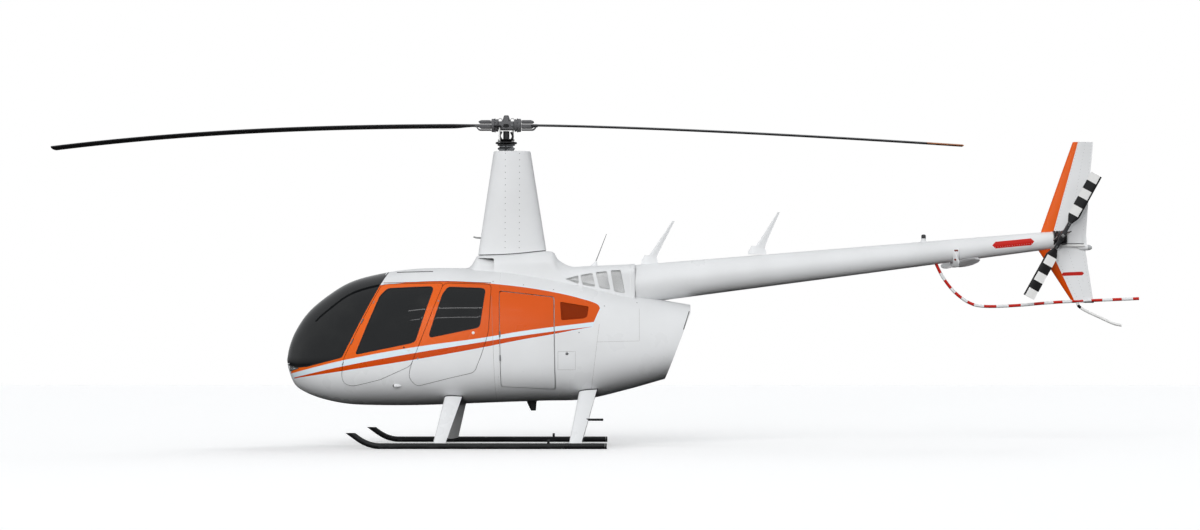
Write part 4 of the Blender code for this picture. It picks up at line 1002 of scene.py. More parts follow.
seam_paint = painted("seam_paint", (0.30, 0.29, 0.28, 1), 0.5, 0.0)
# Deep red, for the antenna's screws and as the painted shadow line of the rain rails
deep_red_and_shadow_paint = painted("deep_red_and_shadow_paint", (0.17, 0.016, 0.004, 1), 0.5, 0.0)
tinted_glass = make_glass()
rubber_seal = make_rubber("rubber_seal", (0.012, 0.012, 0.013, 1))
dark_plastic = make_rubber("dark_plastic", (0.022, 0.022, 0.023, 1))
seat_leather = make_leather()
smoked_lens = make_lens("smoked_lens", (0.055, 0.055, 0.058, 1), 0.2)
clear_lens = make_lens("clear_lens", (0.92, 0.94, 0.95, 1), 0.85)
exhaust_steel = make_exhaust_metal()
pale_lens = make_lens("pale_lens", (0.80, 0.82, 0.83, 1), 0.3)
tail_white_paint = painted("tail_white_paint", (0.82, 0.82, 0.81, 1), 0.34, 0.2)
# Dark orange, as painted shade behind the side intake screens
deep_orange_painted_shade = painted("deep_orange_painted_shade", (0.16, 0.016, 0.001, 1), 0.7, 0.0)
chrome = make_bare_metal("chrome", (0.86, 0.87, 0.88, 1), 0.14, soil=0.05)


# Cabin and doors

def cabin_stations():
    """Stations from the nose to the firewall, close together at the nose."""
    bend_x = -2.640
    nose = [NOSE_X + (bend_x - NOSE_X) * (i / 24) ** 1.8 for i in range(24)]
    return nose + evenly(bend_x, FIREWALL_X, 30)


def cowl_stations():
    return evenly(FIREWALL_X + SEAT_GAP, HULL_REAR_X, 36)


def hull_body(stations, inset=0.0, start=None, end=None, name="hull_body"):
    """The hull's form through stations, trimmed to run from start to end, as a solid."""
    if start is not None:
        stations = [start] + [x for x in stations if x > start + 0.008]
    if end is not None:
        stations = [x for x in stations if x < end - 0.008] + [end]
    return loft(name, [hull_ring(x, inset) for x in stations], split=True)


def two_finishes(piece, outside, inside, depth):
    """Gives the faces that lie deeper than this below the hull's skin the inside's finish."""
    mesh = piece.data
    mesh.materials.clear()
    mesh.materials.append(outside)
    mesh.materials.append(inside)
    depths = skin_depth([face.center for face in mesh.polygons])
    for face, here in zip(mesh.polygons, depths):
        face.material_index = 1 if here > depth else 0
    return piece


def knuckle(hinge, share, side, growth=0.0):
    low, high = (Vector((point.x, point.y * side, point.z)) for point in hinge)
    along = (high - low).normalized()
    middle = low.lerp(high, share)
    half = HINGE_LENGTH / 2 + growth
    radius = HINGE_RADIUS + growth
    bevel = 0.0015
    length = 2 * half
    profile = capped((0, radius - bevel), (bevel, radius), (length - bevel, radius), (length, radius - bevel))
    return turned("knuckle", profile, middle - along * half, along, 24)


def build_cabin():
    """The cabin shell with its doors, panes and seals, all cut from one hull surface."""
    stations = cabin_stations()
    skin = hull_body(stations, name="cabin_skin")
    inside = hull_body(stations, WALL, NOSE_X + WALL, FIREWALL_X - WALL)
    door_inside = hull_body(stations, DOOR_THICKNESS, NOSE_X + DOOR_THICKNESS)
    frame_face = hull_body(stations, FRAME_SINK, NOSE_X + FRAME_SINK)
    glass_out = hull_body(stations, GLASS_SINK, NOSE_X + GLASS_SINK, FIREWALL_X - 0.02)
    glass_depth = GLASS_SINK + GLASS_THICKNESS
    glass_in = hull_body(stations, glass_depth, NOSE_X + glass_depth)
    seal_out = hull_body(stations, -0.0006, NOSE_X)
    seal_in = hull_body(stations, GLASS_SINK + 0.001, NOSE_X + GLASS_SINK)
    seal_skin = carve(seal_out, seal_in)
    shell = copy_of(skin, "cabin_shell_skin")
    carve(shell, inside)
    edge = rounded(WINDSHIELD[:-3], 0.03)
    windshield = edge + WINDSHIELD[-3:]
    arc = 9  # points that rounding puts in place of each corner
    seal_line = WINDSHIELD[:1] + edge[arc:-arc] + WINDSHIELD[-4:]  # its two end corners stay sharp
    for label, side in SIDES:
        for place, outline, window, hinge_sides in (
            ("front", FRONT_DOOR, FRONT_WINDOW, 2), ("rear", REAR_DOOR, REAR_WINDOW, 4),
        ):
            body = f"{place}_{label}_door"
            outer = rounded(outline, 0.05)
            recess = side_prism(grown(outer, SHUT_GAP / 2), side)
            carve(recess, frame_face, keep=True)
            carve(shell, recess)
            wide_sides = len(outline) - hinge_sides - 1
            frame_widths = [-FRAME_NARROW] * hinge_sides + [-FRAME_WIDTH] * wide_sides + [-FRAME_NARROW]
            carve(shell, side_prism(rounded(grown(outline, frame_widths), 0.04), side))
            door = copy_of(skin, f"door_{place}_{label}_skin")
            carve(door, door_inside, keep=True)
            carve(door, side_prism(grown(outer, -SHUT_GAP / 2), side), "INTERSECT")
            pane_line = rounded(window, 0.03)
            carve(door, side_prism(grown(pane_line, SEAT_GAP), side))
            two_finishes(door, livery_paint, cabin_trim, DOOR_THICKNESS * 0.75)
            pieces = [door]
            if place == "front":
                for share in HINGE_SHARES:
                    carve(shell, knuckle(FRONT_HINGE, share, side, NOTCH_GAP))
                    pieces.append(finished(knuckle(FRONT_HINGE, share, side), bare_steel))
            door = joined(f"door_{place}_{label}_skin", pieces)
            settle(door, "white_paint", f"door_{place}_{label}", body=body)
            pane = copy_of(glass_out, f"window_{place}_{label}_pane")
            carve(pane, glass_in, keep=True)
            carve(pane, side_prism(pane_line, side), "INTERSECT")
            dress(pane, tinted_glass, "tinted_glass", f"window_{place}_{label}", body=body)
            seal = copy_of(seal_skin, f"window_{place}_{label}_seal")
            carve(seal, side_prism(grown(pane_line, 0.0045), side), "INTERSECT")
            carve(seal, side_prism(grown(pane_line, -0.005), side))
            dress(seal, rubber_seal, "dark_plastic", body=body)
        near, far = sorted((CENTRE_POST_HALF * side, 1.3 * side))
        carve(shell, prism("cutter", grown(windshield, SEAT_GAP), near - SEAT_GAP, far + SEAT_GAP))
        pane = copy_of(glass_out, f"windshield_{label}_pane")
        carve(pane, glass_in, keep=True)
        carve(pane, prism("cutter", windshield, near, far), "INTERSECT")
        dress(pane, tinted_glass, "tinted_glass", f"windshield_{label}")
        seal = copy_of(seal_skin, f"windshield_{label}_seal")
        carve(seal, prism("cutter", grown(seal_line, 0.005), near - 0.005, far + 0.005), "INTERSECT")
        carve(seal, prism("cutter", grown(seal_line, -0.006), near + 0.006, far + 0.1))
        dress(seal, rubber_seal, "dark_plastic")
    two_finishes(shell, livery_paint, cabin_trim, FRAME_SINK * 0.75)
    shell.name = "cabin_shell_skin"
    settle(shell, "white_paint", "cabin_shell")
    remove(skin, door_inside, frame_face, glass_out, glass_in, seal_skin)


def boom_cutter(ahead, growth=0.0):
    """The boom's cone, begun ahead of its front end."""
    along = (BOOM_REAR - BOOM_FRONT).normalized()
    radii = [BOOM_FRONT_RADIUS + growth, BOOM_REAR_RADIUS]
    return swept("cutter", [BOOM_FRONT - along * ahead, BOOM_REAR], radii, 96)


def exhaust_point(x):
    return Vector((x, 0.0, EXHAUST_HEIGHT - EXHAUST_FALL * (x - 0.5)))


def build_aft_cowl():
    """The rear cowl with its baggage door, intake openings and exhaust hole."""
    stations = cowl_stations()
    skin = hull_body(stations, name="cowl_skin")
    rear_cut = prism("cutter", COWL_REAR_CUT, -1.0, 1.0)
    inside = hull_body(stations, COWL_WALL, stations[0] + 0.03)
    carve(inside, prism("cutter", tuple((x - 0.06, z) for x, z in COWL_REAR_CUT), -1.0, 1.0))
    cowl = copy_of(skin, "aft_cowl_skin")
    carve(cowl, rear_cut)
    carve(cowl, inside)
    carve(cowl, side_prism(rounded(grown(BAGGAGE_DOOR, SHUT_GAP / 2), 0.03), -1))
    carve(cowl, boom_cutter(0.001))
    carve(cowl, swept("cutter", [exhaust_point(0.50), exhaust_point(1.3)], EXHAUST_RADIUS + 0.001, 64))
    for _, side in SIDES:
        carve(cowl, side_prism(rounded(SIDE_SCREEN, 0.02), side))
    for share in HINGE_SHARES:
        carve(cowl, knuckle(BAGGAGE_HINGE, share, -1, NOTCH_GAP))
    two_finishes(cowl, livery_paint, dark_inside_and_painted_shade, COWL_WALL * 0.75)
    settle(cowl, "white_paint", "aft_cowl")
    leaf = rounded(grown(BAGGAGE_DOOR, [-gap for gap in BAGGAGE_GAPS]), 0.03)
    door = copy_of(skin, "baggage_door_leaf")
    carve(door, hull_body([FIREWALL_X - 0.1] + stations, COWL_WALL))
    carve(door, side_prism(leaf, -1), "INTERSECT")
    two_finishes(door, livery_paint, dark_inside_and_painted_shade, COWL_WALL * 0.75)
    knuckles = [finished(knuckle(BAGGAGE_HINGE, share, -1), bare_steel) for share in HINGE_SHARES]
    settle(joined("baggage_door_leaf", [door] + knuckles), "white_paint", "baggage_door", body="baggage_door")
    remove(skin)


def wire_lines(outline, spacing, surface):
    """Two crossing sets of lines at 45 degrees, cut off at the outline.

    Surface gives the place on the skin from x, z and which of the two sets asks."""
    xs = [x for x, z in outline]
    zs = [z for x, z in outline]
    middle = Vector(((min(xs) + max(xs)) / 2, (min(zs) + max(zs)) / 2))
    reach = max(max(xs) - min(xs), max(zs) - min(zs))
    count = int(reach / spacing)
    lines = []
    for turn in (-1, 1):
        along = Vector((1, turn)).normalized()
        across = Vector((-along.y, along.x))
        for i in range(-count, count + 1):
            run = []
            for step in range(-24, 25):
                spot = middle + across * spacing * i + along * reach * step / 24
                if inside_outline(outline, *spot):
                    run.append(surface(spot.x, spot.y, turn))
                elif run:
                    lines.append(run)
                    run = []
            if run:
                lines.append(run)
    return [line for line in lines if len(line) > 1]


def line_mesh(name, lines, outwards=None):
    """A mesh of loose edges along lines, with the direction outwards kept at each point, else up."""
    bm = bmesh.new()
    layer = bm.verts.layers.float_vector.new("outwards")
    for k, line in enumerate(lines):
        row = [bm.verts.new(point) for point in line]
        for i, vert in enumerate(row):
            vert[layer] = outwards[k][i] if outwards else (0, 0, 1)
        for before, after in zip(row, row[1:]):
            bm.edges.new((before, after))
    return bare_piece(name, bm)


# Geometry node trees

def geometry_tree(name, inputs):
    """A geometry tree with named inputs, its entry and its exit."""
    tree = bpy.data.node_groups.new(name, "GeometryNodeTree")
    tree.interface.new_socket("Geometry", in_out="INPUT", socket_type="NodeSocketGeometry")
    kinds = {float: "NodeSocketFloat", int: "NodeSocketInt", str: "NodeSocketMaterial"}
    for label, default in inputs.items():
        socket = tree.interface.new_socket(label, in_out="INPUT", socket_type=kinds[type(default)])
        if not isinstance(default, str):
            socket.default_value = default
    tree.interface.new_socket("Geometry", in_out="OUTPUT", socket_type="NodeSocketGeometry")
    return tree, tree.nodes.new("NodeGroupInput").outputs, tree.nodes.new("NodeGroupOutput")


def closed_tree(tree, source, entry, leave):
    """Makes what the source node gives real, in the tree's finish, and hands it out."""
    real = node(tree, "GeometryNodeRealizeInstances", {"Geometry": source.outputs[0]})
    sockets = {"Geometry": real.outputs[0], "Material": entry["Finish"]}
    dressed = node(tree, "GeometryNodeSetMaterial", sockets)
    fill(tree, leave, {"Geometry": dressed.outputs[0]})
    return tree


def make_wire_tree():
    """Turns lines into round wires."""
    tree, entry, leave = geometry_tree("wires", {"Radius": 0.001, "Sides": 6, "Finish": ""})
    curve = node(tree, "GeometryNodeMeshToCurve", {"Mesh": entry["Geometry"]})
    sockets = {"Resolution": entry["Sides"], "Radius": entry["Radius"]}
    ring = node(tree, "GeometryNodeCurvePrimitiveCircle", sockets)
    wire = node(tree, "GeometryNodeCurveToMesh", {
        "Curve": curve.outputs[0], "Profile Curve": ring.outputs[0], "Fill Caps": True,
    })
    return closed_tree(tree, wire, entry, leave)


def make_rivet_tree():
    """Sets a domed head at even steps along lines, standing on the surface."""
    inputs = {"Spacing": 0.03, "Radius": 0.003, "Height": 0.001, "Finish": ""}
    tree, entry, leave = geometry_tree("rivets", inputs)
    curve = node(tree, "GeometryNodeMeshToCurve", {"Mesh": entry["Geometry"]})
    sockets = {"Curve": curve.outputs[0], "Length": entry["Spacing"]}
    spread = node(tree, "GeometryNodeResampleCurve", sockets, mode="LENGTH")
    top = node(tree, "ShaderNodeMath", {0: entry["Radius"], 1: 0.55}, operation="MULTIPLY")
    head = node(tree, "GeometryNodeMeshCone", {
        "Vertices": 8, "Radius Top": top.outputs[0], "Radius Bottom": entry["Radius"],
        "Depth": entry["Height"],
    })
    smooth = node(tree, "GeometryNodeSetShadeSmooth", {"Geometry": head.outputs[0]})
    out = node(tree, "GeometryNodeInputNamedAttribute", {"Name": "outwards"}, data_type="FLOAT_VECTOR")
    facing = node(tree, "FunctionNodeAlignRotationToVector", {"Vector": out.outputs[0]}, axis="Z")
    heads = node(tree, "GeometryNodeInstanceOnPoints", {
        "Points": spread.outputs[0], "Instance": smooth.outputs[0], "Rotation": facing.outputs[0],
    })
    return closed_tree(tree, heads, entry, leave)


def grow_with(tree, piece, **values):
    """Runs a geometry tree on a piece and keeps what it makes as the piece's mesh."""
    modifier = piece.modifiers.new(tree.name, "NODES")
    modifier.node_group = tree
    for item in tree.interface.items_tree:
        if item.in_out == "INPUT" and item.name in values:
            modifier[item.identifier] = values[item.name]
    return applied(piece)


wire_tree = make_wire_tree()
rivet_tree = make_rivet_tree()


# Stage

FLOOR_HALF = 60.0
FLOOR_COLOUR = (0.012, 0.012, 0.012, 1)  # that the helicopter sees, which the camera sees as white
PURE_WHITE = (1.0, 1.0, 1.0, 1)
GROUND_GLOW = (0.008, 0.008, 0.008, 1)
SKY_GLOW = (0.50, 0.51, 0.52, 1)
# Name, direction it comes from, strength, and spread in degrees
SUNS = (
    ("front_left_light", (-0.22, -1.0, 0.42), 1.65, 35.0),
    ("rear_right_light", (0.6, 1.0, 0.8), 0.9, 35.0),
    ("level_light", (-0.25, -1.0, 0.04), 0.50, 4.0),
)
# Name, place, length, width and power of the strips that shine in the paint
STRIPS = (
    ("high_strip", (-3.0, -13.0, 12.5), 9.0, 0.30, 38.0),
    ("low_strip", (-1.0, -15.0, 9.6), 12.0, 0.22, 30.0),
)
STRIP_AIM_HEIGHT = 1.4
CAMERA_PLACE = (0.227, -26.9, 0.937)
CAMERA_TILT = math.radians(90 + 2.153)
CAMERA_TURN = math.radians(0.346)
CAMERA_LENS = 74.6
CAMERA_SENSOR = 36.0


def build_floor():
    bm = bmesh.new()
    corners = ((-1, -1), (1, -1), (1, 1), (-1, 1))
    bm.faces.new([bm.verts.new((FLOOR_HALF * x, FLOOR_HALF * y, 0.0)) for x, y in corners])
    floor = mesh_piece("floor", bm)
    made = bpy.data.materials.new("floor_finish")
    made.use_nodes = True
    tree = made.node_tree
    seen = node(tree, "ShaderNodeLightPath").outputs["Is Camera Ray"]
    fill(tree, tree.nodes["Principled BSDF"], {
        "Roughness": 0.9, "Specular IOR Level": 0.1,
        "Base Color": mixed(tree, seen, FLOOR_COLOUR, PURE_WHITE),
        "Emission Color": PURE_WHITE, "Emission Strength": times(tree, seen, 0.12),
    })
    finished(floor, made)


def build_surround():
    """A dark ground and a pale sky for the helicopter, and plain white for the camera."""
    world = bpy.data.worlds.new("studio")
    bpy.context.scene.world = world
    bpy.context.scene.view_settings.view_transform = "Standard"
    world.use_nodes = True
    tree = world.node_tree
    way = node(tree, "ShaderNodeTexCoord").outputs["Generated"]
    up = node(tree, "ShaderNodeSeparateXYZ", {"Vector": way}).outputs["Z"]
    sky = mixed(tree, ramp(tree, up, -0.06, 0.10), GROUND_GLOW, SKY_GLOW)
    seen = node(tree, "ShaderNodeLightPath").outputs["Is Camera Ray"]
    fill(tree, tree.nodes["Background"], {"Color": mixed(tree, seen, sky, PURE_WHITE), "Strength": 1.0})


def build_lights():
    """Soft light from above, and long strips on the camera's side."""
    for name, direction, strength, spread in SUNS:
        lamp = bpy.data.lights.new(name, "SUN")
        lamp.energy = strength
        lamp.angle = math.radians(spread)
        holder = placed(name, lamp)
        holder.rotation_mode = "QUATERNION"
        holder.rotation_quaternion = Vector(direction).to_track_quat("Z", "Y")
        holder.location = Vector(direction) * 10
        holder.visible_glossy = False
    for name, place, length, width, power in STRIPS:
        lamp = bpy.data.lights.new(name, "AREA")
        lamp.shape = "RECTANGLE"
        lamp.energy = power
        lamp.size, lamp.size_y = length, width
        holder = placed(name, lamp)
        holder.location = place
        holder.rotation_mode = "QUATERNION"
        aim = Vector((place[0], 0, STRIP_AIM_HEIGHT)) - Vector(place)
        holder.rotation_quaternion = aim.to_track_quat("-Z", "Y")


def build_camera():
    lens = bpy.data.cameras.new("camera")
    lens.sensor_width = CAMERA_SENSOR
    lens.lens = CAMERA_LENS
    lens.clip_end = 300.0
    camera = placed("camera", lens)
    camera.location = CAMERA_PLACE
    camera.rotation_euler = (CAMERA_TILT, 0.0, CAMERA_TURN)
    bpy.context.scene.camera = camera


# Upper cowl, mast fairing and boom

def upper_cowl_body(start, end, inset=0.0, foot=UPPER_COWL_FOOT, count=70, name="cutter"):
    """The upper cowl's form from start to end, drawn in by inset."""
    return loft(name, [upper_cowl_ring(x, inset, foot) for x in evenly(start, end, count)])


def hull_core(inset):
    """Both parts of the hull as solids, for trimming what stands on the skin."""
    cabin = hull_body(cabin_stations(), inset, NOSE_X + max(inset, 0.0))
    cowl = hull_body([FIREWALL_X - 0.05] + cowl_stations(), inset)
    return cabin, cowl


def build_upper_cowl():
    """The upper cowl with its scoops, vents, vent screens and the lip round the boom."""
    start, end = UPPER_COWL_SECTIONS[0][0], UPPER_COWL_SECTIONS[-1][0]
    low = UPPER_COWL_FOOT - 0.1
    cowl = upper_cowl_body(start, end, name="upper_cowl_skin")
    for part in hull_core(-SEAT_GAP):
        carve(cowl, part)
    carve(cowl, upper_cowl_body(-0.42, end - 0.024, UPPER_COWL_WALL, low, 40))
    carve(cowl, boom_cutter(0.1, 0.003))
    for label, side in SIDES:
        for outline in COWL_VENTS:
            carve(cowl, side_prism(rounded(outline, 0.020), side))
        scoop = side_prism(rounded(COWL_SCOOP, 0.022), side)
        slope = []
        for x in evenly(SCOOP_FRONT_X - 0.05, SCOOP_REAR_X + 0.02, 16):
            depth = SCOOP_DEPTH * max(x - SCOOP_FRONT_X, -0.01) / (SCOOP_REAR_X - SCOOP_FRONT_X)
            slope.append(upper_cowl_ring(x, depth, low))
        carve(scoop, loft("cutter", slope))
        carve(cowl, scoop)
        wires = []
        for outline in COWL_VENTS:
            sheet = grown(rounded(outline, 0.020, 3), 0.006)
            wires += wire_lines(sheet, 0.007, lambda x, z, turn: Vector((
                x, upper_cowl_half_width(x, z, UPPER_COWL_WALL * 0.5 + 0.0005 * turn) * side, z
            )))
        screen = line_mesh(f"vent_screen_{label}_wires", wires)
        grow_with(wire_tree, screen, Radius=0.0013, Sides=4, Finish=pale_mesh_paint)
        settle(screen, "bare_steel", f"vent_screen_{label}")
    finished(cowl, white_paint)
    cowl.data.materials.append(pale_inside)
    cowl.data.materials.append(dark_inside_and_painted_shade)
    for face in cowl.data.polygons:
        if is_inside_cowl(face.center):
            face.material_index = 1
        # The scoop's rear wall and upper ledge take the near-black finish as painted shade
        elif is_scoop_shade(face):
            face.material_index = 2
    settle(cowl, "white_paint", "upper_cowl")
    rim = ((0.392, 0.0), (0.396, 0.003), (0.434, 0.004), (0.440, 0.002))
    lip = loft("upper_cowl_lip", [upper_cowl_ring(x, -grow) for x, grow in rim])
    for part in hull_core(-0.003):
        carve(lip, part)
    carve(lip, boom_cutter(0.1, 0.003))
    dress(lip, white_paint, "white_paint")


def is_inside_cowl(point):
    """Whether a place lies behind the upper cowl's skin."""
    if point.x < -0.41 or point.x > 0.415:
        return False
    return abs(point.y) < upper_cowl_half_width(point.x, point.z) - 0.012 or point.z < 1.5


def is_scoop_shade(face):
    """Whether a face is the rear wall or the upper ledge of a scoop, which are painted near black as painted
    shade.
    """
    x, y, z = face.center
    if not SCOOP_FRONT_X < x < SCOOP_REAR_X + 0.003 or not COWL_SCOOP[1][1] < z < COWL_SCOOP[3][1] + 0.01:
        return False
    below = upper_cowl_half_width(x, z) - abs(y)
    return below > 0.004 and (face.normal.x < -0.5 or face.normal.z < -0.3)


def build_intake_screens():
    for label, side in SIDES:
        sheet = grown(rounded(SIDE_SCREEN, 0.020, 3), 0.004)
        wires = wire_lines(
            sheet, 0.0075, lambda x, z, turn: on_hull(x, z, side, SCREEN_SINK + 0.0006 * turn)[0]
        )
        screen = line_mesh(f"intake_screen_{label}_wires", wires)
        grow_with(wire_tree, screen, Radius=0.0012, Sides=4, Finish=orange_mesh_paint)
        settle(screen, "orange_paint", f"intake_screen_{label}")
        # A dark orange sheet behind the screen, as painted shade of the intake's inside seen through the
        # wires
        backing = hull_body(cowl_stations(), 0.020, name=f"intake_backing_{label}")
        carve(backing, side_prism(grown(rounded(SIDE_SCREEN, 0.02), 0.006), side), "INTERSECT")
        carve(backing, hull_body(cowl_stations(), 0.024, FIREWALL_X, HULL_REAR_X))
        dress(backing, deep_orange_painted_shade, "orange_paint")


def build_mast_fairing():
    """The streamlined tower round the mast, which stands a thin dark joint above the cowl."""
    rings = [fairing_ring(h, fairing_thickness(h)) for h in evenly(FAIRING_FOOT, FAIRING_TOP, 40)]
    rings[-1] = fairing_ring(FAIRING_TOP, 0.214, 0.004)
    rings.insert(-1, fairing_ring(3.1765, 0.2203, 0.0005))
    fairing = loft("mast_fairing_skin", rings)
    carve(fairing, upper_cowl_body(-1.42, -0.36, -0.009))
    mast_hole = turned("cutter", capped((0, 0.052), (0.2, 0.052)), (ROTOR_AXIS_X, 0, 3.10), (0, 0, 1))
    carve(fairing, mast_hole)
    lines, facing = [], []
    for x in (-0.957, -0.804):
        for side in (-1, 1):
            line, out = [], []
            for h in evenly(2.13, 3.15, 36):
                ring = fairing_ring(h, fairing_thickness(h))
                near = [point for point in ring if point[1] * side > 0]
                before = max((point for point in near if point[0] <= x), key=lambda point: point[0])
                after = min((point for point in near if point[0] > x), key=lambda point: point[0])
                share = (x - before[0]) / (after[0] - before[0])
                line.append(Vector(before).lerp(Vector(after), share))
                out.append(Vector((before[1] - after[1], after[0] - before[0], 0.0)) * side)
            lines.append(line)
            facing.append([direction.normalized() for direction in out])
    rivets = line_mesh("mast_fairing_rivets", lines, facing)
    grow_with(rivet_tree, rivets, Spacing=0.065, Radius=0.0050, Height=0.0018, Finish=fastener_paint)
    dress(fairing, white_paint, "white_paint", "mast_fairing")
    settle(rivets, "white_paint")
    neck = loft("mast_fairing_joint", [fairing_ring(h, fairing_thickness(h), 0.008) for h in (2.02, 2.16)])
    dress(neck, rubber_seal, "dark_plastic")
    probe = ((-1.19, 2.2408), (-1.24, 2.2420), (-1.27, 2.243), (-1.290, 2.2485), (-1.306, 2.254))
    probe = [(x, 0, z) for x, z in probe]
    pitot = swept("pitot_probe", probe, [0.010, 0.010, 0.010, 0.0095, 0.0085], 20)
    dress(pitot, mesh_wire, "bare_steel", "pitot_tube")


def boom_radius(share):
    return BOOM_FRONT_RADIUS + (BOOM_REAR_RADIUS - BOOM_FRONT_RADIUS) * share


def boom_share(x):
    return (x - BOOM_FRONT.x) / (BOOM_REAR.x - BOOM_FRONT.x)


def boom_point(x, angle):
    """A place on the boom's skin, with angle 0 at its top and 90 degrees on its left, and the way out."""
    share = boom_share(x)
    along = (BOOM_REAR - BOOM_FRONT).normalized()
    up = Vector((0, 0, 1))
    up = (up - along * up.dot(along)).normalized()
    out = up * math.cos(angle) + Vector((0, -1, 0)) * math.sin(angle)
    return BOOM_FRONT.lerp(BOOM_REAR, share) + out * boom_radius(share), out


BOOM_SEAMS = (1.012, 2.944, 3.474, 4.156)


def build_boom():
    """The tapering boom, with a lapped joint and two rows of rivets at each seam."""
    stations, proud = [], []
    edge = 0.0004
    for x in evenly(BOOM_FRONT.x - 0.06, BOOM_REAR.x - 0.004, 50):
        if all(abs(x - seam) > 0.03 for seam in BOOM_SEAMS):
            stations.append(x)
            proud.append(0.0)
    for seam in BOOM_SEAMS:
        stations += [seam - 0.014, seam - 0.014 + edge, seam + 0.014 - edge, seam + 0.014]
        proud += [0.0, 0.0012, 0.0012, 0.0]
    stations += [BOOM_REAR.x - 0.0005, BOOM_REAR.x]
    proud += [0.0, -0.004]
    order = sorted(range(len(stations)), key=lambda i: stations[i])
    points = [BOOM_FRONT.lerp(BOOM_REAR, boom_share(stations[i])) for i in order]
    radii = [boom_radius(boom_share(stations[i])) + proud[i] for i in order]
    boom = swept("tail_boom_skin", points, radii, 96)
    dress(boom, boom_paint, "white_paint", "tail_boom")
    ends = [BOOM_FRONT.lerp(BOOM_REAR, boom_share(x)) for x in (4.944, 4.945, 4.956, 4.957)]
    radii = [boom_radius(boom_share(4.95)) + rise for rise in (0.0, 0.0025, 0.0025, 0.0)]
    rim = swept("tail_boom_rim", ends, radii, 72)
    dress(rim, tail_white_paint, "white_paint")
    rows = [
        [boom_point(x, 2 * math.pi * i / 90) for i in range(91)]
        for seam in BOOM_SEAMS for x in (seam - 0.024, seam + 0.024)
    ]
    for angle in (math.radians(98), math.radians(-98)):
        rows.append([boom_point(x, angle) for x in evenly(BOOM_FRONT.x + 0.06, BOOM_REAR.x - 0.03, 60)])
    lines = [[place for place, _ in row] for row in rows]
    rivets = line_mesh("tail_boom_rivets", lines, [[out for _, out in row] for row in rows])
    grow_with(rivet_tree, rivets, Spacing=0.026, Radius=0.0028, Height=0.0009, Finish=white_paint)
    settle(rivets, "white_paint")


# Tail

# Rows of (height, leading x, trailing x), and for the stabilizer its reach in place of a height
UPPER_FIN = ((2.150, 4.815, 5.330), (2.317, 4.838, 5.325), (2.900, 5.047, 5.370), (3.280, 5.184, 5.406))
LOWER_FIN = ((1.538, 5.168, 5.400), (1.570, 5.152, 5.396), (2.100, 4.808, 5.315), (2.148, 4.792, 5.310))
STABILIZER = ((0.0294, 5.06, 5.30), (0.30, 5.07, 5.30), (0.55, 5.08, 5.30))
STABILIZER_HEIGHT = 2.172


def wing(name, rows, thickness):
    """A fin through (height, leading, trailing) rows, with rounded ends."""
    steps, tip = 22, 0.004
    (low, low_front, low_rear), (high, high_front, high_rear) = rows[0], rows[-1]
    rings = [wing_section(low_front + tip, low_rear - tip, thickness * 0.7, low, steps)]
    rings += [wing_section(leading, trailing, thickness, height, steps) for height, leading, trailing in (
        (low + tip * 0.6, low_front, low_rear), *rows[1:-1], (high - tip * 0.6, high_front, high_rear),
    )]
    rings.append(wing_section(high_front + tip, high_rear - tip, thickness * 0.7, high, steps))
    return loft(name, rings, 50.0)


def fin_rivets(name, rows):
    """Rows of rivets up both faces of a fin, each at a share of its chord."""
    lines, facing = [], []
    for share in (0.30, 0.62, 0.93):
        for side in (-1, 1):
            line = []
            for (low, lead_low, trail_low), (high, lead_high, trail_high) in zip(rows, rows[1:]):
                for t in (0.02, 0.5, 0.98):
                    height = low + (high - low) * t
                    leading = lead_low + (lead_high - lead_low) * t
                    chord = trail_low + (trail_high - trail_low) * t - leading
                    y = FIN_THICKNESS / 2 * foil_shape(share) * side
                    line.append((leading + chord * share, y, height))
            lines.append(line)
            facing.append([(0, side, 0)] * len(line))
    rivets = line_mesh(name, lines, facing)
    grow_with(rivet_tree, rivets, Spacing=0.036, Radius=0.0026, Height=0.0010, Finish=fastener_paint)
    settle(rivets, "white_paint")


def build_tail():
    """Fins, stabilizer, gearbox, tail light, guard and tail skid."""
    dress(wing("upper_fin_skin", UPPER_FIN, FIN_THICKNESS), upper_fin_paint, "white_paint", "upper_fin")
    dress(wing("lower_fin_skin", LOWER_FIN, FIN_THICKNESS), lower_fin_paint, "white_paint", "lower_fin")
    fin_rivets("upper_fin_rivets", UPPER_FIN[1:])
    fin_rivets("lower_fin_rivets", LOWER_FIN[:3])
    plane = wing("stabilizer_skin", STABILIZER, 0.030)
    plane.data.transform(Matrix(((1, 0, 0, 0), (0, 0, 1, 0), (0, 1, 0, STABILIZER_HEIGHT), (0, 0, 0, 1))))
    bm = bmesh.new()
    bm.from_mesh(plane.data)
    bmesh.ops.recalc_face_normals(bm, faces=bm.faces)
    bm.to_mesh(plane.data)
    bm.free()
    dress(plane, white_paint, "white_paint", "stabilizer")
    root = soft_box("stabilizer_root", (5.02, -0.052, 2.142), (5.30, -0.020, 2.170), 0.009, 4)
    dress(root, tail_white_paint, "white_paint")
    # A near-black strip along the root's top stands for the shadow in the gap above it: painted shade
    edge = soft_box("stabilizer_root_seal", (5.02, -0.046, 2.171), (5.29, -0.020, 2.179), 0.002, 2)
    dress(edge, rubber_seal, "dark_plastic")
    aft = (1, 0, -0.03)
    light = turned("tail_light_fairing", [
        (0, 0), (0.002, 0.009), (0.010, 0.018), (0.028, 0.027), (0.055, 0.032), (0.085, 0.033),
        (0.120, 0.0315),
    ], (5.214, 0, 2.1400), aft)
    lens = turned("tail_light_lens", [
        (0, 0.0312), (0.018, 0.029), (0.036, 0.0235), (0.047, 0.0155), (0.0515, 0.006), (0.052, 0),
    ], (5.334, 0, 2.1364), aft)
    finished(light, white_paint)
    finished(lens, pale_lens)
    settle(joined("tail_light_fairing", [light, lens]), "lamp_lens", "tail_light")
    build_gearbox()
    build_guard()


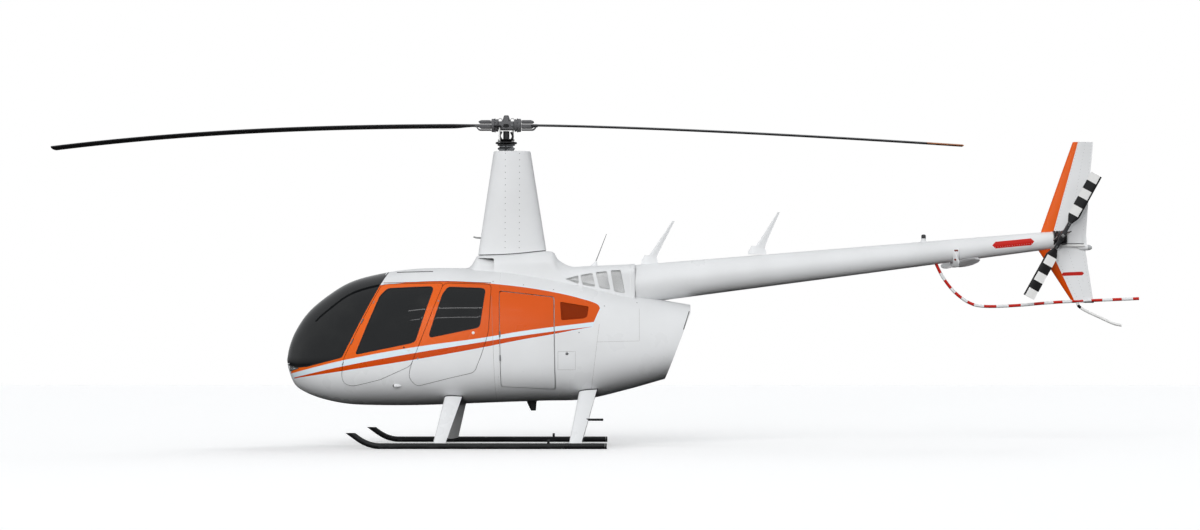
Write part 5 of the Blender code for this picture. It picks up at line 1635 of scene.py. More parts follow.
def build_gearbox():
    """Tail gearbox: a finned case with an input flange and an output boss towards the rotor."""
    pieces = [
        soft_box("case", (4.965, -0.130, 2.172), (5.100, 0.020, 2.305), 0.022, 4),
        turned("flange", capped((0, 0.078), (0.010, 0.080), (0.016, 0.078), (0.018, 0.060), (0.05, 0.055)),
               (4.9555, -0.055, 2.238), (1, 0, 0)),
        turned("boss", capped((0, 0.052), (0.012, 0.054), (0.03, 0.046), (0.055, 0.040), (0.058, 0.034)),
               (5.014, -0.104, 2.248), (0, -1, 0)),
    ]
    for i in range(5):
        x = 4.985 + 0.024 * i
        pieces.append(soft_box("rib", (x, -0.138, 2.166), (x + 0.006, 0.026, 2.312), 0.002, 1))
    for angle in range(6):
        turn = math.pi / 3 * angle
        spot = Vector((5.014 + 0.044 * math.cos(turn), -0.150, 2.248 + 0.044 * math.sin(turn)))
        pieces.append(turned("bolt", capped((0, 0.005), (0.010, 0.005)), spot, (0, -1, 0), 6))
    finished_pieces = [finished(piece, black_paint) for piece in pieces]
    settle(joined("tail_gearbox_case", finished_pieces), "dark_paint", "tail_gearbox")


GUARD_LINE = (
    (3.68, 0, 2.00), (3.777, 0, 1.808), (3.907, 0, 1.646), (4.069, 0, 1.533), (4.232, 0, 1.500),
    (4.556, 0, 1.509), (5.043, 0, 1.547), (5.887, 0, 1.584),
)
TAIL_SKID_LINE = (
    (5.225, 0, 1.534), (5.24, 0, 1.50), (5.314, 0, 1.451), (5.46, 0, 1.382), (5.606, 0, 1.316),
    (5.698, 0, 1.294),
)
FOOT_FRONT_X, FOOT_REAR_X = 5.155, 5.405
FOOT_SWELL = 2.2  # times the guard's width, where it is clamped round the fin's foot
GUARD_START_HEIGHT = 1.945
# Where the guard's colour changes, in metres along it from where it comes out at that height
GUARD_BANDS = (
    0.090, 0.180, 0.285, 0.355, 0.440, 0.520, 0.600, 0.708, 0.837, 0.965, 1.102, 1.246, 1.360, 1.453, 1.556,
    1.650, 1.774, 1.865, 1.989, 2.089, 2.192, 2.313,
)


def smooth_line(points, step):
    """Evenly spaced points on the smooth curve through a few."""
    knots = np.array(points, float)
    raw = np.array([spline_value(knots, (len(knots) - 1) * i / 400) for i in range(401)])
    lengths = np.concatenate([[0], np.cumsum(np.linalg.norm(np.diff(raw, axis=0), axis=1))])
    count = max(int(lengths[-1] / step), 2)
    wanted = np.linspace(0, lengths[-1], count + 1)
    return [Vector([np.interp(t, lengths, raw[:, k]) for k in range(3)]) for t in wanted], wanted


def build_guard():
    """The tail guard in red and white bands, its clamp on the fin, and the skid under the fin."""
    line, lengths = smooth_line(GUARD_LINE, 0.011)
    below = next(i for i, point in enumerate(line) if point.z < GUARD_START_HEIGHT)
    line, lengths = line[below - 3:], [t - lengths[below] for t in lengths[below - 3:]]
    sides = 20
    guard = swept("tail_guard_tube", line, GUARD_RADIUS, sides)
    for vert in guard.data.vertices:
        if FOOT_FRONT_X < vert.co.x < FOOT_REAR_X:
            vert.co.y *= FOOT_SWELL
    finished(guard, red_paint)
    guard.data.materials.append(white_paint)
    for i in range(len(line) - 1):
        middle = (lengths[i] + lengths[i + 1]) / 2
        band = sum(1 for edge in GUARD_BANDS if edge < middle)
        for face in guard.data.polygons[i * sides:(i + 1) * sides]:
            face.material_index = band % 2
    settle(guard, "guard_paint", "tail_guard")
    clamp = soft_box("guard_clamp", (5.205, -0.021, 1.536), (5.228, 0.021, 1.592), 0.003)
    dress(clamp, white_paint, "white_paint")
    shoe = soft_box("lower_fin_shoe", (5.158, -0.024, 1.5385), (5.398, 0.024, 1.553), 0.004)
    dress(shoe, black_paint, "dark_paint")
    rod_line, _ = smooth_line(TAIL_SKID_LINE, 0.02)
    skid = finished(swept("tail_skid_rod", rod_line, 0.0145, 16), tail_white_paint)
    socket = finished(swept("tail_skid_socket", rod_line[1:4], 0.0160, 16), black_paint)
    settle(joined("tail_skid_rod", [skid, socket]), "bare_steel", "tail_skid")


# Rotors

# Side outlines of the fork plates that hold a blade's root
FORK_TOP = (
    (0.165, 0.022), (0.285, 0.022), (0.302, 0.036), (0.290, 0.046), (0.268, 0.054), (0.180, 0.054),
    (0.165, 0.050),
)
FORK_BOTTOM = (
    (0.165, -0.055), (0.285, -0.055), (0.303, -0.049), (0.318, -0.032), (0.330, -0.012), (0.322, -0.006),
    (0.306, -0.028), (0.296, -0.039), (0.280, -0.045), (0.165, -0.045),
)
FORK_CORE = ((0.165, -0.034), (0.275, -0.034), (0.300, -0.017), (0.34, -0.017), (0.34, 0.010), (0.165, 0.010))


def build_main_blades():
    """Two drooping blades, each with its root between fork plates in a bolted collar."""
    pitch = math.radians(4)
    # Each blade's name, side along X, droop at its tip and how late along it the droop comes
    for name, body_sign, droop, power in (
        ("main_blade_1", -1, 0.238, 2.4), ("main_blade_2", 1, 0.222, 1.4),
    ):
        rings = []
        for i in range(45):
            reach = BLADE_ROOT + (ROTOR_RADIUS - BLADE_ROOT) * (i / 44) ** 1.4
            fall = droop * ((reach - BLADE_ROOT) / (ROTOR_RADIUS - BLADE_ROOT)) ** power
            share = min(max((reach - 0.33) / (BLADE_FULL_REACH - 0.33), 0.0), 1.0)
            chord = BLADE_CHORD * (0.45 + 0.55 * share * share * (3 - 2 * share))
            section = wing_section(-0.25 * chord, 0.75 * chord, BLADE_THICKNESS, 0.0, 12)
            ring = []
            for along, across, _ in section:
                y = along * math.cos(pitch) - across * math.sin(pitch)
                z = -along * math.sin(pitch) + across * math.cos(pitch)
                ring.append((ROTOR_AXIS_X + body_sign * reach, -body_sign * y, ROTOR_HEIGHT - fall + z))
            rings.append(ring)
        blade = finished(loft(f"{name}_skin", rings, 50.0), blade_paint)
        pieces = [blade]

        def fork_plate(outline, half_width):
            """A plate seen from the side, with x from the rotor's axis and z from the blade's middle."""
            seen = tuple((ROTOR_AXIS_X + body_sign * x, ROTOR_HEIGHT + z) for x, z in outline)
            plate = prism("plate", seen, -half_width, half_width)
            rounding = plate.modifiers.new("rounding", "BEVEL")
            rounding.width = 0.003
            rounding.segments = 2
            rounding.limit_method = "ANGLE"
            return finished(applied(plate), hub_paint)

        pieces.append(fork_plate(FORK_TOP, 0.050))
        pieces.append(fork_plate(FORK_BOTTOM, 0.050))
        pieces.append(fork_plate(FORK_CORE, 0.044))
        collar = capped(
            (0, 0.056), (0.004, 0.066), (0.016, 0.070), (0.026, 0.064), (0.036, 0.064), (0.046, 0.072),
            (0.068, 0.072), (0.074, 0.066),
        )
        start = Vector((ROTOR_AXIS_X + body_sign * (HUB_HALF_LENGTH + 0.001), 0, ROTOR_HEIGHT))
        pieces.append(turned("collar", collar, start, (body_sign, 0, 0), 40))
        for k in range(8):
            turn = math.pi / 4 * k + math.pi / 8
            spot = start + Vector((body_sign * 0.036, 0.060 * math.sin(turn), 0.060 * math.cos(turn)))
            outwards = (0, math.sin(turn), math.cos(turn))
            pieces.append(turned("bolt", capped((0, 0.006), (0.018, 0.006)), spot, outwards, 6))
        for piece in pieces[1:]:
            finished(piece, hub_paint)
        near, far = sorted((0.058 * body_sign, 0.102 * body_sign))
        left, right = sorted(ROTOR_AXIS_X + body_sign * reach for reach in (0.056, 0.13))
        horn = soft_box("horn", (left, near, 3.440), (right, far, 3.462), 0.004, 2)
        pieces.append(finished(horn, dark_steel))
        settle(joined(f"{name}_skin", pieces), "blade_paint", name, body="main_rotor")


def build_rotor_head():
    """Hub with its teeter hinge, lifting loops and hex cap, the mast, and both swashplates."""
    axis = Vector((ROTOR_AXIS_X, 0, 0))
    up = Vector((0, 0, 1))
    low, high = Vector((-HUB_HALF_LENGTH, -0.048, 3.412)), Vector((HUB_HALF_LENGTH, 0.048, 3.506))
    cap = capped((0, 0.045), (0.006, 0.045), (0.058, 0.028), (0.0675, 0.024))
    pieces = [
        soft_box("block", axis + low, axis + high, 0.012, 4),
        turned("cap", cap, axis + up * 3.505, up, 6, 20.0),
    ]
    for piece in pieces:
        finished(piece, hub_paint)
    for side in (-1, 1):
        out = (0, side, 0)
        recess = turned("teeter_recess", capped((0, 0.021), (0.0010, 0.0205)), (0, 0, 0), out, 40)
        stretch = Matrix.Diagonal((1.62, 1, 1, 1))
        recess.data.transform(Matrix.Translation(axis + Vector((0, 0.0478 * side, 3.456))) @ stretch)
        pieces.append(finished(recess, rubber_seal))
        for end in (-1, 1):
            spot = axis + Vector((0.066 * end, 0.046 * side, 3.456))
            bolt = capped((0, 0.017), (0.005, 0.017), (0.005, 0.012), (0.012, 0.012), (0.014, 0.010))
            pieces.append(finished(turned("coning_bolt", bolt, spot, out, 6, 20.0), bare_steel))
    for end in (-1, 1):
        loop = [
            axis + Vector((0.066 * end, 0, 3.520)) + Vector((math.cos(t), 0, math.sin(t))) * 0.0205
            for t in evenly(math.radians(-60), math.radians(240), 26)
        ]
        pieces.append(finished(swept("lifting_loop", loop, 0.0034, 10), mesh_wire))
    settle(joined("rotor_hub_block", pieces), "bare_steel", "rotor_hub", body="main_rotor")
    mast = turned("mast_shaft_steel", capped(
        (0, 0.034), (1.10, 0.034), (1.105, 0.030), (1.19, 0.030), (1.195, 0.034), (1.300, 0.034),
    ), axis + up * 2.10, up, 40)
    dress(mast, dark_steel, "bare_steel", "mast_shaft", body="main_rotor")
    upper = turned("outer", [
        (0.0, 0.0346), (0.0, 0.108), (0.003, 0.116), (0.017, 0.116), (0.021, 0.100), (0.026, 0.062),
        (0.036, 0.058), (0.038, 0.090), (0.046, 0.092), (0.049, 0.085), (0.049, 0.0346),
    ], axis + up * 3.262, up, 64)
    ring = [finished(upper, black_paint)]
    for end in (-1, 1):
        foot = axis + Vector((0.07 * end, 0.086 * end, 3.262))
        top = axis + Vector((0.07 * end, 0.086 * end, 3.439))
        ring.append(finished(swept("link", [foot + up * 0.012, top], 0.0072, 14), tail_white_paint))
        for spot, radius in ((foot + up * 0.022, 0.0175), (top - up * 0.008, 0.0095)):
            ball = [(radius * (1 - math.cos(t)), radius * math.sin(t)) for t in evenly(0, math.pi, 10)]
            ring.append(finished(turned("ball", ball, spot - up * radius, up, 20), mesh_wire))
        scissor = [
            axis + Vector((x * end, y * end, z))
            for x, y, z in ((0.046, 0.030, 3.300), (0.074, 0.034, 3.345), (0.050, 0.030, 3.395))
        ]
        ring.append(finished(swept("scissor", bent_line(scissor, 0.02), 0.012, 12), dark_steel))
    settle(joined("swashplate_upper_ring", ring), "bare_steel", "swashplate_upper", body="main_rotor")
    lower = turned("inner", [
        (0.0, 0.0348), (0.0, 0.060), (0.012, 0.064), (0.020, 0.090), (0.036, 0.094), (0.044, 0.078),
        (0.060, 0.074), (0.064, 0.094), (0.072, 0.096), (0.075, 0.090), (0.075, 0.0348),
    ], axis + up * 3.1805, up, 56)
    base = [finished(lower, bare_steel)]
    for k in range(3):
        turn = 2 * math.pi / 3 * k + 0.5
        out = Vector((math.cos(turn), math.sin(turn), 0))
        arm = [axis + out * reach + up * z for reach, z in ((0.060, 3.232), (0.086, 3.222), (0.080, 3.186))]
        base.append(finished(swept("arm", bent_line(arm, 0.01), 0.0085, 12), dark_steel))
    settle(joined("swashplate_lower_ring", base), "bare_steel", "swashplate_lower")


def build_tail_rotor():
    """Two banded blades on a teetering strap, with pitch horns and a control slider."""
    centre = TAIL_ROTOR_CENTRE
    along = Vector((math.sin(TAIL_ROTOR_TILT), 0, math.cos(TAIL_ROTOR_TILT)))
    across = Vector((math.cos(TAIL_ROTOR_TILT), 0, -math.sin(TAIL_ROTOR_TILT)))
    bands = (0.752, 0.655, 0.557, 0.457, 0.355, 0.252)
    steps = 12
    for number, sign in ((1, 1), (2, -1)):
        rings = []
        reaches = [(0.1604, 0.050), (0.19, 0.076), (0.222, 0.108)]
        reaches += [(reach, 0.127) for reach in sorted(bands)]
        for reach, chord in reaches:
            thickness = 0.016 if reach < 0.74 else 0.012
            section = wing_section(-0.5 * chord, 0.5 * chord, thickness, 0.0, steps)
            rings.append([
                centre + along * sign * reach + across * sign * sx * -1 + Vector((0, sy, 0))
                for sx, sy, _ in section
            ])
        blade = loft(f"tail_blade_{number}_skin", rings, 50.0)
        finished(blade, black_paint)
        blade.data.materials.append(tail_white_paint)
        count = len(rings[0])
        nose_faces = {0, 1, count - 1, count - 2, count - 3, count - 4}
        for i in range(len(reaches) - 1):
            middle = (reaches[i][0] + reaches[i + 1][0]) / 2
            band = sum(1 for edge in bands if edge > middle)
            for k, face in enumerate(blade.data.polygons[i * count:(i + 1) * count]):
                white = middle > bands[-1] and band % 2 == 1 and k not in nose_faces
                face.material_index = 1 if white else 0
        blade.data.polygons[-1].material_index = 0
        settle(blade, "white_paint", f"tail_blade_{number}", body="tail_rotor")
    place = Matrix.Translation(centre) @ Matrix.Rotation(TAIL_ROTOR_TILT, 4, "Y")
    pieces = [
        soft_box("strap", (-0.021, -0.015, -0.158), (0.021, 0.017, 0.158), 0.006, 3, place),
        soft_box("hub_block", (-0.029, -0.019, -0.055), (0.029, 0.019, 0.055), 0.007, 3, place),
        turned("shaft", capped((0, 0.0215), (0.14, 0.0215), (0.145, 0.026), (0.165, 0.026)),
               (centre.x, -0.112, centre.z), (0, -1, 0)),
        turned("slider", capped((0, 0.036), (0.004, 0.038), (0.022, 0.038), (0.026, 0.030), (0.040, 0.030)),
               (centre.x, -0.185, centre.z), (0, -1, 0)),
    ]
    for piece in pieces:
        finished(piece, dark_steel)
    nut = capped((0, 0.021), (0.005, 0.021), (0.005, 0.013), (0.016, 0.013), (0.017, 0.010))
    nut_piece = turned("centre_nut", nut, centre + Vector((0, -0.017, 0)), (0, -1, 0), 4, 20.0)
    pieces.append(finished(nut_piece, mesh_wire))
    for sign in (1, -1):
        spot = centre + along * 0.085 * sign + across * 0.058 * sign
        inner = centre + along * 0.055 * sign + across * 0.026 * sign
        slider = Vector((centre.x, -0.205, centre.z)) + across * 0.034 * sign + along * 0.02 * sign
        horn = bent_line((inner, spot, spot + Vector((0, 0.03, 0))), 0.01)
        pieces.append(finished(swept("horn", horn, 0.0065, 12), dark_steel))
        pieces.append(finished(swept("link", [spot + Vector((0, 0.02, 0)), slider], 0.0042, 12), mesh_wire))
        for reach in (0.130, 0.150):
            seat = centre + along * reach * sign + Vector((0, -0.015, 0))
            bolt = turned("bolt", capped((0, 0.008), (0.006, 0.008)), seat, (0, -1, 0), 6)
            pieces.append(finished(bolt, bare_steel))
    settle(joined("tail_rotor_hub_block", pieces), "bare_steel", "tail_rotor_hub", body="tail_rotor")


# Gear, antennas and small fittings

def leg_section(place, chord, thickness, swell=0.0):
    x, y, z = place
    section = wing_section(x - chord / 2 - swell, x + chord / 2 + swell, thickness + 2 * swell, z, 16)
    return [(px, y + py, z) for px, py, _ in section]


def build_gear():
    """Skids with flat-cut fronts and wear sleeves, and streamlined legs in rubber collars."""
    for label, side in SIDES:
        y = SKID_HALF_TREAD * side
        run = [(-2.60, y, 0.2294), (-2.39, y, 0.075), (-2.27, y, SKID_RADIUS), (0.1415, y, SKID_RADIUS)]
        skid = swept(f"skid_{label}_tube", bent_line(run, 0.07, 8), SKID_RADIUS, 32)
        carve(skid, soft_box("cutter", (-2.8, y - 0.1, 0.166), (-2.3, y + 0.1, 0.4), 0.001, 1))
        finished(skid, black_paint)
        cap = capped((0, 0.029), (0.020, 0.0305), (0.040, 0.0303), (0.043, 0.026))
        cap = turned("end_cap", cap, (0.0985, y, SKID_RADIUS), (1, 0, 0), 32)
        sleeve = swept("wear_sleeve", [(-2.22, y, SKID_RADIUS), (-0.30, y, SKID_RADIUS)], 0.0318, 32)
        for vert in sleeve.data.vertices:
            vert.co.z = min(max(vert.co.z, 0.0002), 0.034)
            vert.co.y = math.copysign(min(abs(vert.co.y), SKID_HALF_TREAD + SKID_RADIUS), vert.co.y)
        lug = soft_box("handling_lug", (-0.476, y - 0.007, 0.056), (-0.450, y + 0.007, 0.098), 0.005, 3)
        pieces = [skid, finished(cap, mesh_wire), finished(sleeve, rubber_seal), finished(lug, black_paint)]
        settle(joined(f"skid_{label}_tube", pieces), "dark_paint", f"skid_{label}")
        for place, top_x, bottom_x, top_z, top_y in (
            ("front", -1.470, -1.602, 0.60, 0.45), ("rear", -0.045, -0.193, 0.66, 0.37),
        ):
            rings, collar_rings = [], []
            for i in range(25):
                share = i / 24
                spot = (
                    top_x + (bottom_x - top_x) * share,
                    (top_y + (SKID_HALF_TREAD - top_y) * share) * side,
                    top_z + (SKID_RADIUS - top_z) * share,
                )
                chord, thickness = 0.19 + (0.125 - 0.19) * share, 0.062 - 0.014 * share
                rings.append(leg_section(spot, chord, thickness))
                if share < 0.35:
                    collar_rings.append(leg_section(spot, chord, thickness, 0.006))
            leg = loft(f"gear_leg_{place}_{label}_skin", rings, 50.0)
            part = 0 if place == "front" else 1
            core = hull_core(0.004)
            carve(leg, core[part], keep=True)
            remove(*core)
            outer, layer = hull_core(-0.010), hull_core(0.004)
            collar = loft(f"gear_leg_{place}_{label}_collar", collar_rings, 50.0)
            carve(collar, outer[part], "INTERSECT", keep=True)
            carve(collar, layer[part], keep=True)
            remove(*outer, *layer)
            dress(leg, white_paint, "white_paint", f"gear_leg_{place}_{label}")
            dress(collar, rubber_seal, "dark_plastic")


def blade_antenna(name, foot, tip, chords, thickness, sink, node):
    """A swept blade antenna on a small plinth."""
    rings = []
    for i in range(13):
        share = i / 12
        chord = chords[0] + (chords[1] - chords[0]) * share ** 0.6
        middle = Vector(foot).lerp(Vector(tip), share)
        thin = thickness * (1 - 0.45 * share)
        rings.append(wing_section(middle.x - chord / 2, middle.x + chord / 2, thin, middle.z, 12))
    low = Vector(foot)
    front, rear = low.x - chords[0] / 2, low.x + chords[0] / 2
    flare = [
        wing_section(front - grow, rear + grow * 0.8, thickness + 2 * wide, low.z + rise, 12)
        for rise, grow, wide in (
            (-sink, 0.035, 0.016), (0.004, 0.030, 0.012), (0.030, 0.016, 0.004), (0.060, 0.002, 0.0005),
        )
    ]
    parts = [
        finished(loft(part, line, 50.0), white_paint) for part, line in (("blade", rings), ("plinth", flare))
    ]
    settle(joined(name, parts), "white_paint", node)


def build_antennas():
    for name, foot, tip, chords, sink in (
        ("comm_antenna", (0.605, 0, 1.992), (0.860, 0, 2.424), (0.120, 0.028), 0.04),
        ("locator_antenna", (1.770, 0, 2.095), (2.000, 0, 2.521), (0.138, 0.026), 0.03),
    ):
        blade_antenna(f"{name}_blade", foot, tip, chords, 0.018, sink, name)
    rod = [(-0.015, 0, 1.90), (0.060, 0, 2.090), (0.135, 0, 2.284)]
    whip = finished(swept("whip", rod, [0.0062, 0.0045, 0.003], 12), fastener_paint)
    base = capped((0, 0.046), (0.020, 0.038), (0.050, 0.018), (0.075, 0.009))
    base = finished(turned("whip_base", base, (0.000, 0, 1.918), (0.35, 0, 1)), white_paint)
    settle(joined("whip_antenna_rod", [whip, base]), "dark_paint", "whip_antenna")
    lamp = capped((0, 0.025), (0.030, 0.025), (0.038, 0.022), (0.043, 0.014), (0.0445, 0.006))
    lamp = finished(turned("beacon_lens", lamp, (3.566, 0, 2.2342), (0, 0, 1)), smoked_lens)
    foot = capped((0, 0.040), (0.036, 0.040), (0.044, 0.033), (0.052, 0.025), (0.0745, 0.024))
    foot = finished(turned("beacon_foot", foot, (3.566, 0, 2.160), (0, 0, 1)), white_paint)
    settle(joined("beacon_lens", [lamp, foot]), "lamp_lens", "beacon")
    belly = ((0.50, -0.732, -0.613), (0.46, -0.722, -0.621), (0.40, -0.694, -0.626), (0.3745, -0.680, -0.628))
    rings = [wing_section(leading, trailing, 0.016, height, 12) for height, leading, trailing in belly]
    dress(loft("belly_antenna_blade", rings, 50.0), black_paint, "white_paint", "belly_antenna")
    saddle = finished(smooth_copy("nav_antenna"), white_paint)
    head = capped((0, 0.012), (0.002, 0.011), (0.003, 0.006))
    screws = [
        finished(turned("screw", head, (x, -0.128, z), (0, -1, 0), 14), deep_red_and_shadow_paint)
        for x, z in ((3.890, 2.098), (3.888, 2.000), (3.910, 2.098))
    ]
    settle(joined("nav_antenna_saddle", [saddle] + screws), "white_paint", "nav_antenna")


def build_exhaust():
    """The exhaust pipe, with a rolled edge at its open end."""
    start, end = exhaust_point(0.42), exhaust_point(1.10)
    length = (end - start).length
    profile = [(along, EXHAUST_RADIUS - inset) for along, inset in (
        (0.0, 0.006), (0.0, 0.0), (length - 0.03, 0.001), (length - 0.008, 0.0), (length, 0.002),
        (length - 0.002, 0.006), (length - 0.03, 0.007), (0.0, 0.006),
    )]
    pipe = turned("exhaust_pipe_steel", profile, start, end - start, 72)
    carve(pipe, prism("cutter", tuple((x - 0.008, z) for x, z in COWL_REAR_CUT), -1.0, 1.0))
    dress(pipe, exhaust_steel, "bare_steel", "exhaust_pipe")


# Seams and small fittings on the hull

SEAMS = (
    ((-1.079, 1.600), (-1.031, 0.482)),
    ((0.061, 1.303), (-0.023, 0.616)),
    ((0.037, 1.112), (0.485, 1.123), (0.486, 1.467)),
    ((-0.374, 1.011), (-0.191, 1.011), (-0.191, 0.818), (-0.375, 0.818), (-0.374, 1.011)),
)
RIGHT_SEAM = ((-0.410, 1.601), (-0.389, 0.617))
HULL_SCREWS = (
    (-1.070, 1.756), (-0.746, 1.719), (-0.427, 1.671), (0.115, 1.495), (0.462, 1.534), (-0.376, 1.206),
    (-0.153, 1.211),
)
ROOF_GUTTER = ((-2.115, 1.861), (-1.722, 1.868))
RAIN_RAIL = ((-2.245, 1.7435), (-1.60, 1.754), (-1.09, 1.741))
REAR_VENT_STRIP = ((0.957, 1.245), (1.022, 1.440))
FRONT_HINGE_BITS = (((-2.663, 0.868), (-2.647, 0.900)), ((-2.343, 1.516), (-2.328, 1.548)))
SCREW_HEAD = capped((0, 0.0065), (0.0012, 0.0060), (0.0018, 0.0035))
LATCH_HEAD = capped((0, 0.016), (0.0020, 0.0155), (0.0035, 0.0125))
JAMB_SINK = 0.031  # of the flange behind the baggage door, under the skin
JAMB_THICKNESS = 0.004
# Outline of a landing light in side view
LANDING_LIGHT = ((-3.270, 0.800), (-3.266, 0.853), (-3.232, 0.846), (-3.205, 0.840), (-3.160, 0.833))
KEYHOLE = capped((0, 0.0095), (0.0015, 0.0090), (0.0020, 0.0060))


def hull_line(points, side, proud=0.0002, step=0.03):
    """Places close together along a line on the hull's skin."""
    made = []
    for (x0, z0), (x1, z1) in zip(points, points[1:]):
        count = max(int(math.hypot(x1 - x0, z1 - z0) / step), 1)
        for i in range(count):
            share = i / count
            made.append(on_hull(x0 + (x1 - x0) * share, z0 + (z1 - z0) * share, side, -proud)[0])
    made.append(on_hull(*points[-1], side, -proud)[0])
    return made


def button_on_hull(name, profile, x, z, side, finish):
    """A low round head standing on the hull's skin."""
    spot, out = on_hull(x, z, side)
    return finished(turned(name, profile, spot - out * 0.0006, out, 18), finish)


def build_hull_details():
    """Panel seams, screws, the access door, gutters, rain rails and the fittings on the skin."""
    for label, side in SIDES:
        seams = SEAMS if side < 0 else SEAMS + (RIGHT_SEAM,)
        lines = line_mesh(f"hull_seams_{label}", [hull_line(seam, side) for seam in seams])
        grow_with(wire_tree, lines, Radius=0.0011, Sides=6, Finish=seam_paint)
        settle(lines, "dark_plastic")
        heads = [button_on_hull("screw", SCREW_HEAD, x, z, side, fastener_paint) for x, z in HULL_SCREWS]
        heads.append(button_on_hull("latch", LATCH_HEAD, -0.280, 0.988, side, bare_steel))
        settle(joined(f"hull_screws_{label}", heads), "bare_steel")
        for name, line, proud, radius, sides, finish, slot in (
            ("roof_gutter", ROOF_GUTTER, 0.001, 0.0045, 12, rubber_seal, "dark_plastic"),
            # The rain rail is painted deep red as the painted shadow line under the roof's edge
            ("rain_rail", RAIN_RAIL, 0.0002, 0.0032, 10, deep_red_and_shadow_paint, "orange_paint"),
            ("rear_vent_strip", REAR_VENT_STRIP, 0.0002, 0.0045, 10, rubber_seal, "dark_plastic"),
        ):
            strip = swept(f"{name}_{label}", hull_line(line, side, proud), radius, sides)
            dress(strip, finish, slot)
        hinge_bits = [
            finished(swept("hinge_bit", hull_line(line, side, 0.0012, 0.02), 0.0045, 10), fastener_paint)
            for line in FRONT_HINGE_BITS
        ]
        settle(joined(f"front_hinge_bits_{label}", hinge_bits), "bare_steel")
        for place, heads in (
            ("front", (("keyhole", KEYHOLE, -1.996, 1.053, rubber_seal),
                       ("latch", LATCH_HEAD, -1.947, 1.030, tail_white_paint))),
            ("rear", (("latch", LATCH_HEAD, -1.266, 1.207, tail_white_paint),
                      ("keyhole", KEYHOLE, -1.640, 1.545, fastener_paint),
                      ("keyhole", KEYHOLE, -1.850, 0.936, fastener_paint))),
        ):
            latches = [button_on_hull(name, head, x, z, side, finish) for name, head, x, z, finish in heads]
            settle(joined(f"{place}_door_latch_{label}", latches), "bare_steel", body=f"{place}_{label}_door")
    build_landing_lights()
    build_baggage_jamb()
    build_drain_fairing()
    step = [(-0.090, -0.794, 0.296), (0.100, -0.794, 0.296), (0.105, -0.794, 0.296)]
    dress(swept("leg_step", step, [0.0125, 0.0125, 0.0105], 16), black_paint, "dark_paint")


def build_baggage_jamb():
    """The painted flange that the baggage door shuts against, seen through the gap round the door."""
    stations = cowl_stations()
    under = JAMB_SINK + JAMB_THICKNESS
    jamb = hull_body(stations, JAMB_SINK, NOSE_X + JAMB_SINK, name="baggage_jamb")
    carve(jamb, hull_body(stations, under, NOSE_X + under))
    carve(jamb, side_prism(grown(BAGGAGE_DOOR, 0.014), -1), "INTERSECT")
    carve(jamb, side_prism(grown(BAGGAGE_DOOR, -0.020), -1))
    dress(jamb, white_paint, "white_paint")


def build_landing_lights():
    """Twin lights in the nose: a bright reflector under a clear lens that follows the skin."""
    stations = cabin_stations()
    for label, side in SIDES:
        near, far = sorted((0.05 * side, 0.50 * side))
        for name, sunk, proud, growth, finish, slot in (
            ("rim", 0.001, 0.0030, 0.004, rubber_seal, "dark_plastic"),
            ("reflector", 0.001, 0.0040, 0.0, chrome, "bare_steel"),
            ("lens", -0.0042, 0.0062, 0.0005, clear_lens, "lamp_lens"),
        ):
            outline = grown(rounded(LANDING_LIGHT, 0.007), growth)
            layer = hull_body(stations, -proud, NOSE_X, -2.9)
            carve(layer, hull_body(stations, sunk, NOSE_X + max(sunk, 0.0)))
            carve(layer, prism("cutter", outline, near, far), "INTERSECT")
            layer.name = f"landing_light_{name}_{label}"
            dress(layer, finish, slot)


def build_drain_fairing():
    """A small teardrop blister low on the left side, dark at its front."""
    spot, out = on_hull(-2.086, 0.648, -1)
    ahead, front, rear, radius = 0.052, 0.035, 0.062, 0.023
    profile = [
        (ahead + t, radius * math.sqrt(max(1 - (t / (front if t < 0 else rear)) ** 2, 0.0)))
        for t in evenly(-front, rear, 22)
    ]
    start = spot - Vector((ahead, 0, 0)) - out * 0.003
    blister = finished(turned("drain_blister", profile, start, (1, 0, 0), 28), white_paint)
    blister.data.materials.append(rubber_seal)
    for face in blister.data.polygons:
        if face.center.x < spot.x - 0.022:
            face.material_index = 1
    settle(blister, "white_paint")


# Cabin inside

def swollen(piece, voxel, reach):
    """The piece blown up like stuffed leather, with no point moved further than reach."""
    remesh = piece.modifiers.new("remesh", "REMESH")
    remesh.mode = "VOXEL"
    remesh.voxel_size = voxel
    applied(piece)
    start = [vert.co.copy() for vert in piece.data.vertices]
    cloth = piece.modifiers.new("cloth", "CLOTH")
    cloth.settings.use_pressure = True
    cloth.settings.uniform_pressure_force = 4.0
    cloth.settings.effector_weights.gravity = 0.0
    cloth.point_cache.frame_start = 1
    cloth.point_cache.frame_end = 20
    for step in range(1, 21):
        bpy.context.scene.frame_set(step)
    shaped = piece.evaluated_get(bpy.context.evaluated_depsgraph_get())
    moved = [vert.co.copy() for vert in shaped.data.vertices]
    piece.modifiers.clear()
    bpy.context.scene.frame_set(1)
    for vert, before, after in zip(piece.data.vertices, start, moved):
        move = after - before
        vert.co = before + move * min(1.0, reach / max(move.length, 1e-9))
    rounder = piece.modifiers.new("rounder", "SUBSURF")
    rounder.levels = rounder.render_levels = 1
    return applied(piece)


def cushion(name, low, high, place, out, channels, voxel=0.010, reach=0.012):
    """A leather cushion with sewn channels pressed into the face that points out."""
    made = soft_box(name, low, high, 0.022, 4)
    swollen(made, voxel, reach)
    out = Vector(out)
    depth, width = 0.005, 0.009
    pressed = []
    for vert in made.data.vertices:
        facing = max(vert.normal.dot(out), 0.0)
        groove = sum(math.exp(-((vert.co.y - y) / width) ** 2) for y in channels)
        pressed.append(vert.co - out * depth * facing * groove)
    for vert, spot in zip(made.data.vertices, pressed):
        vert.co = spot
    made.data.transform(place)
    finished(made, seat_leather)
    return made


def seat_padded(made):
    """Settles a cushion in the cabin."""
    settle(made, "seat_leather")


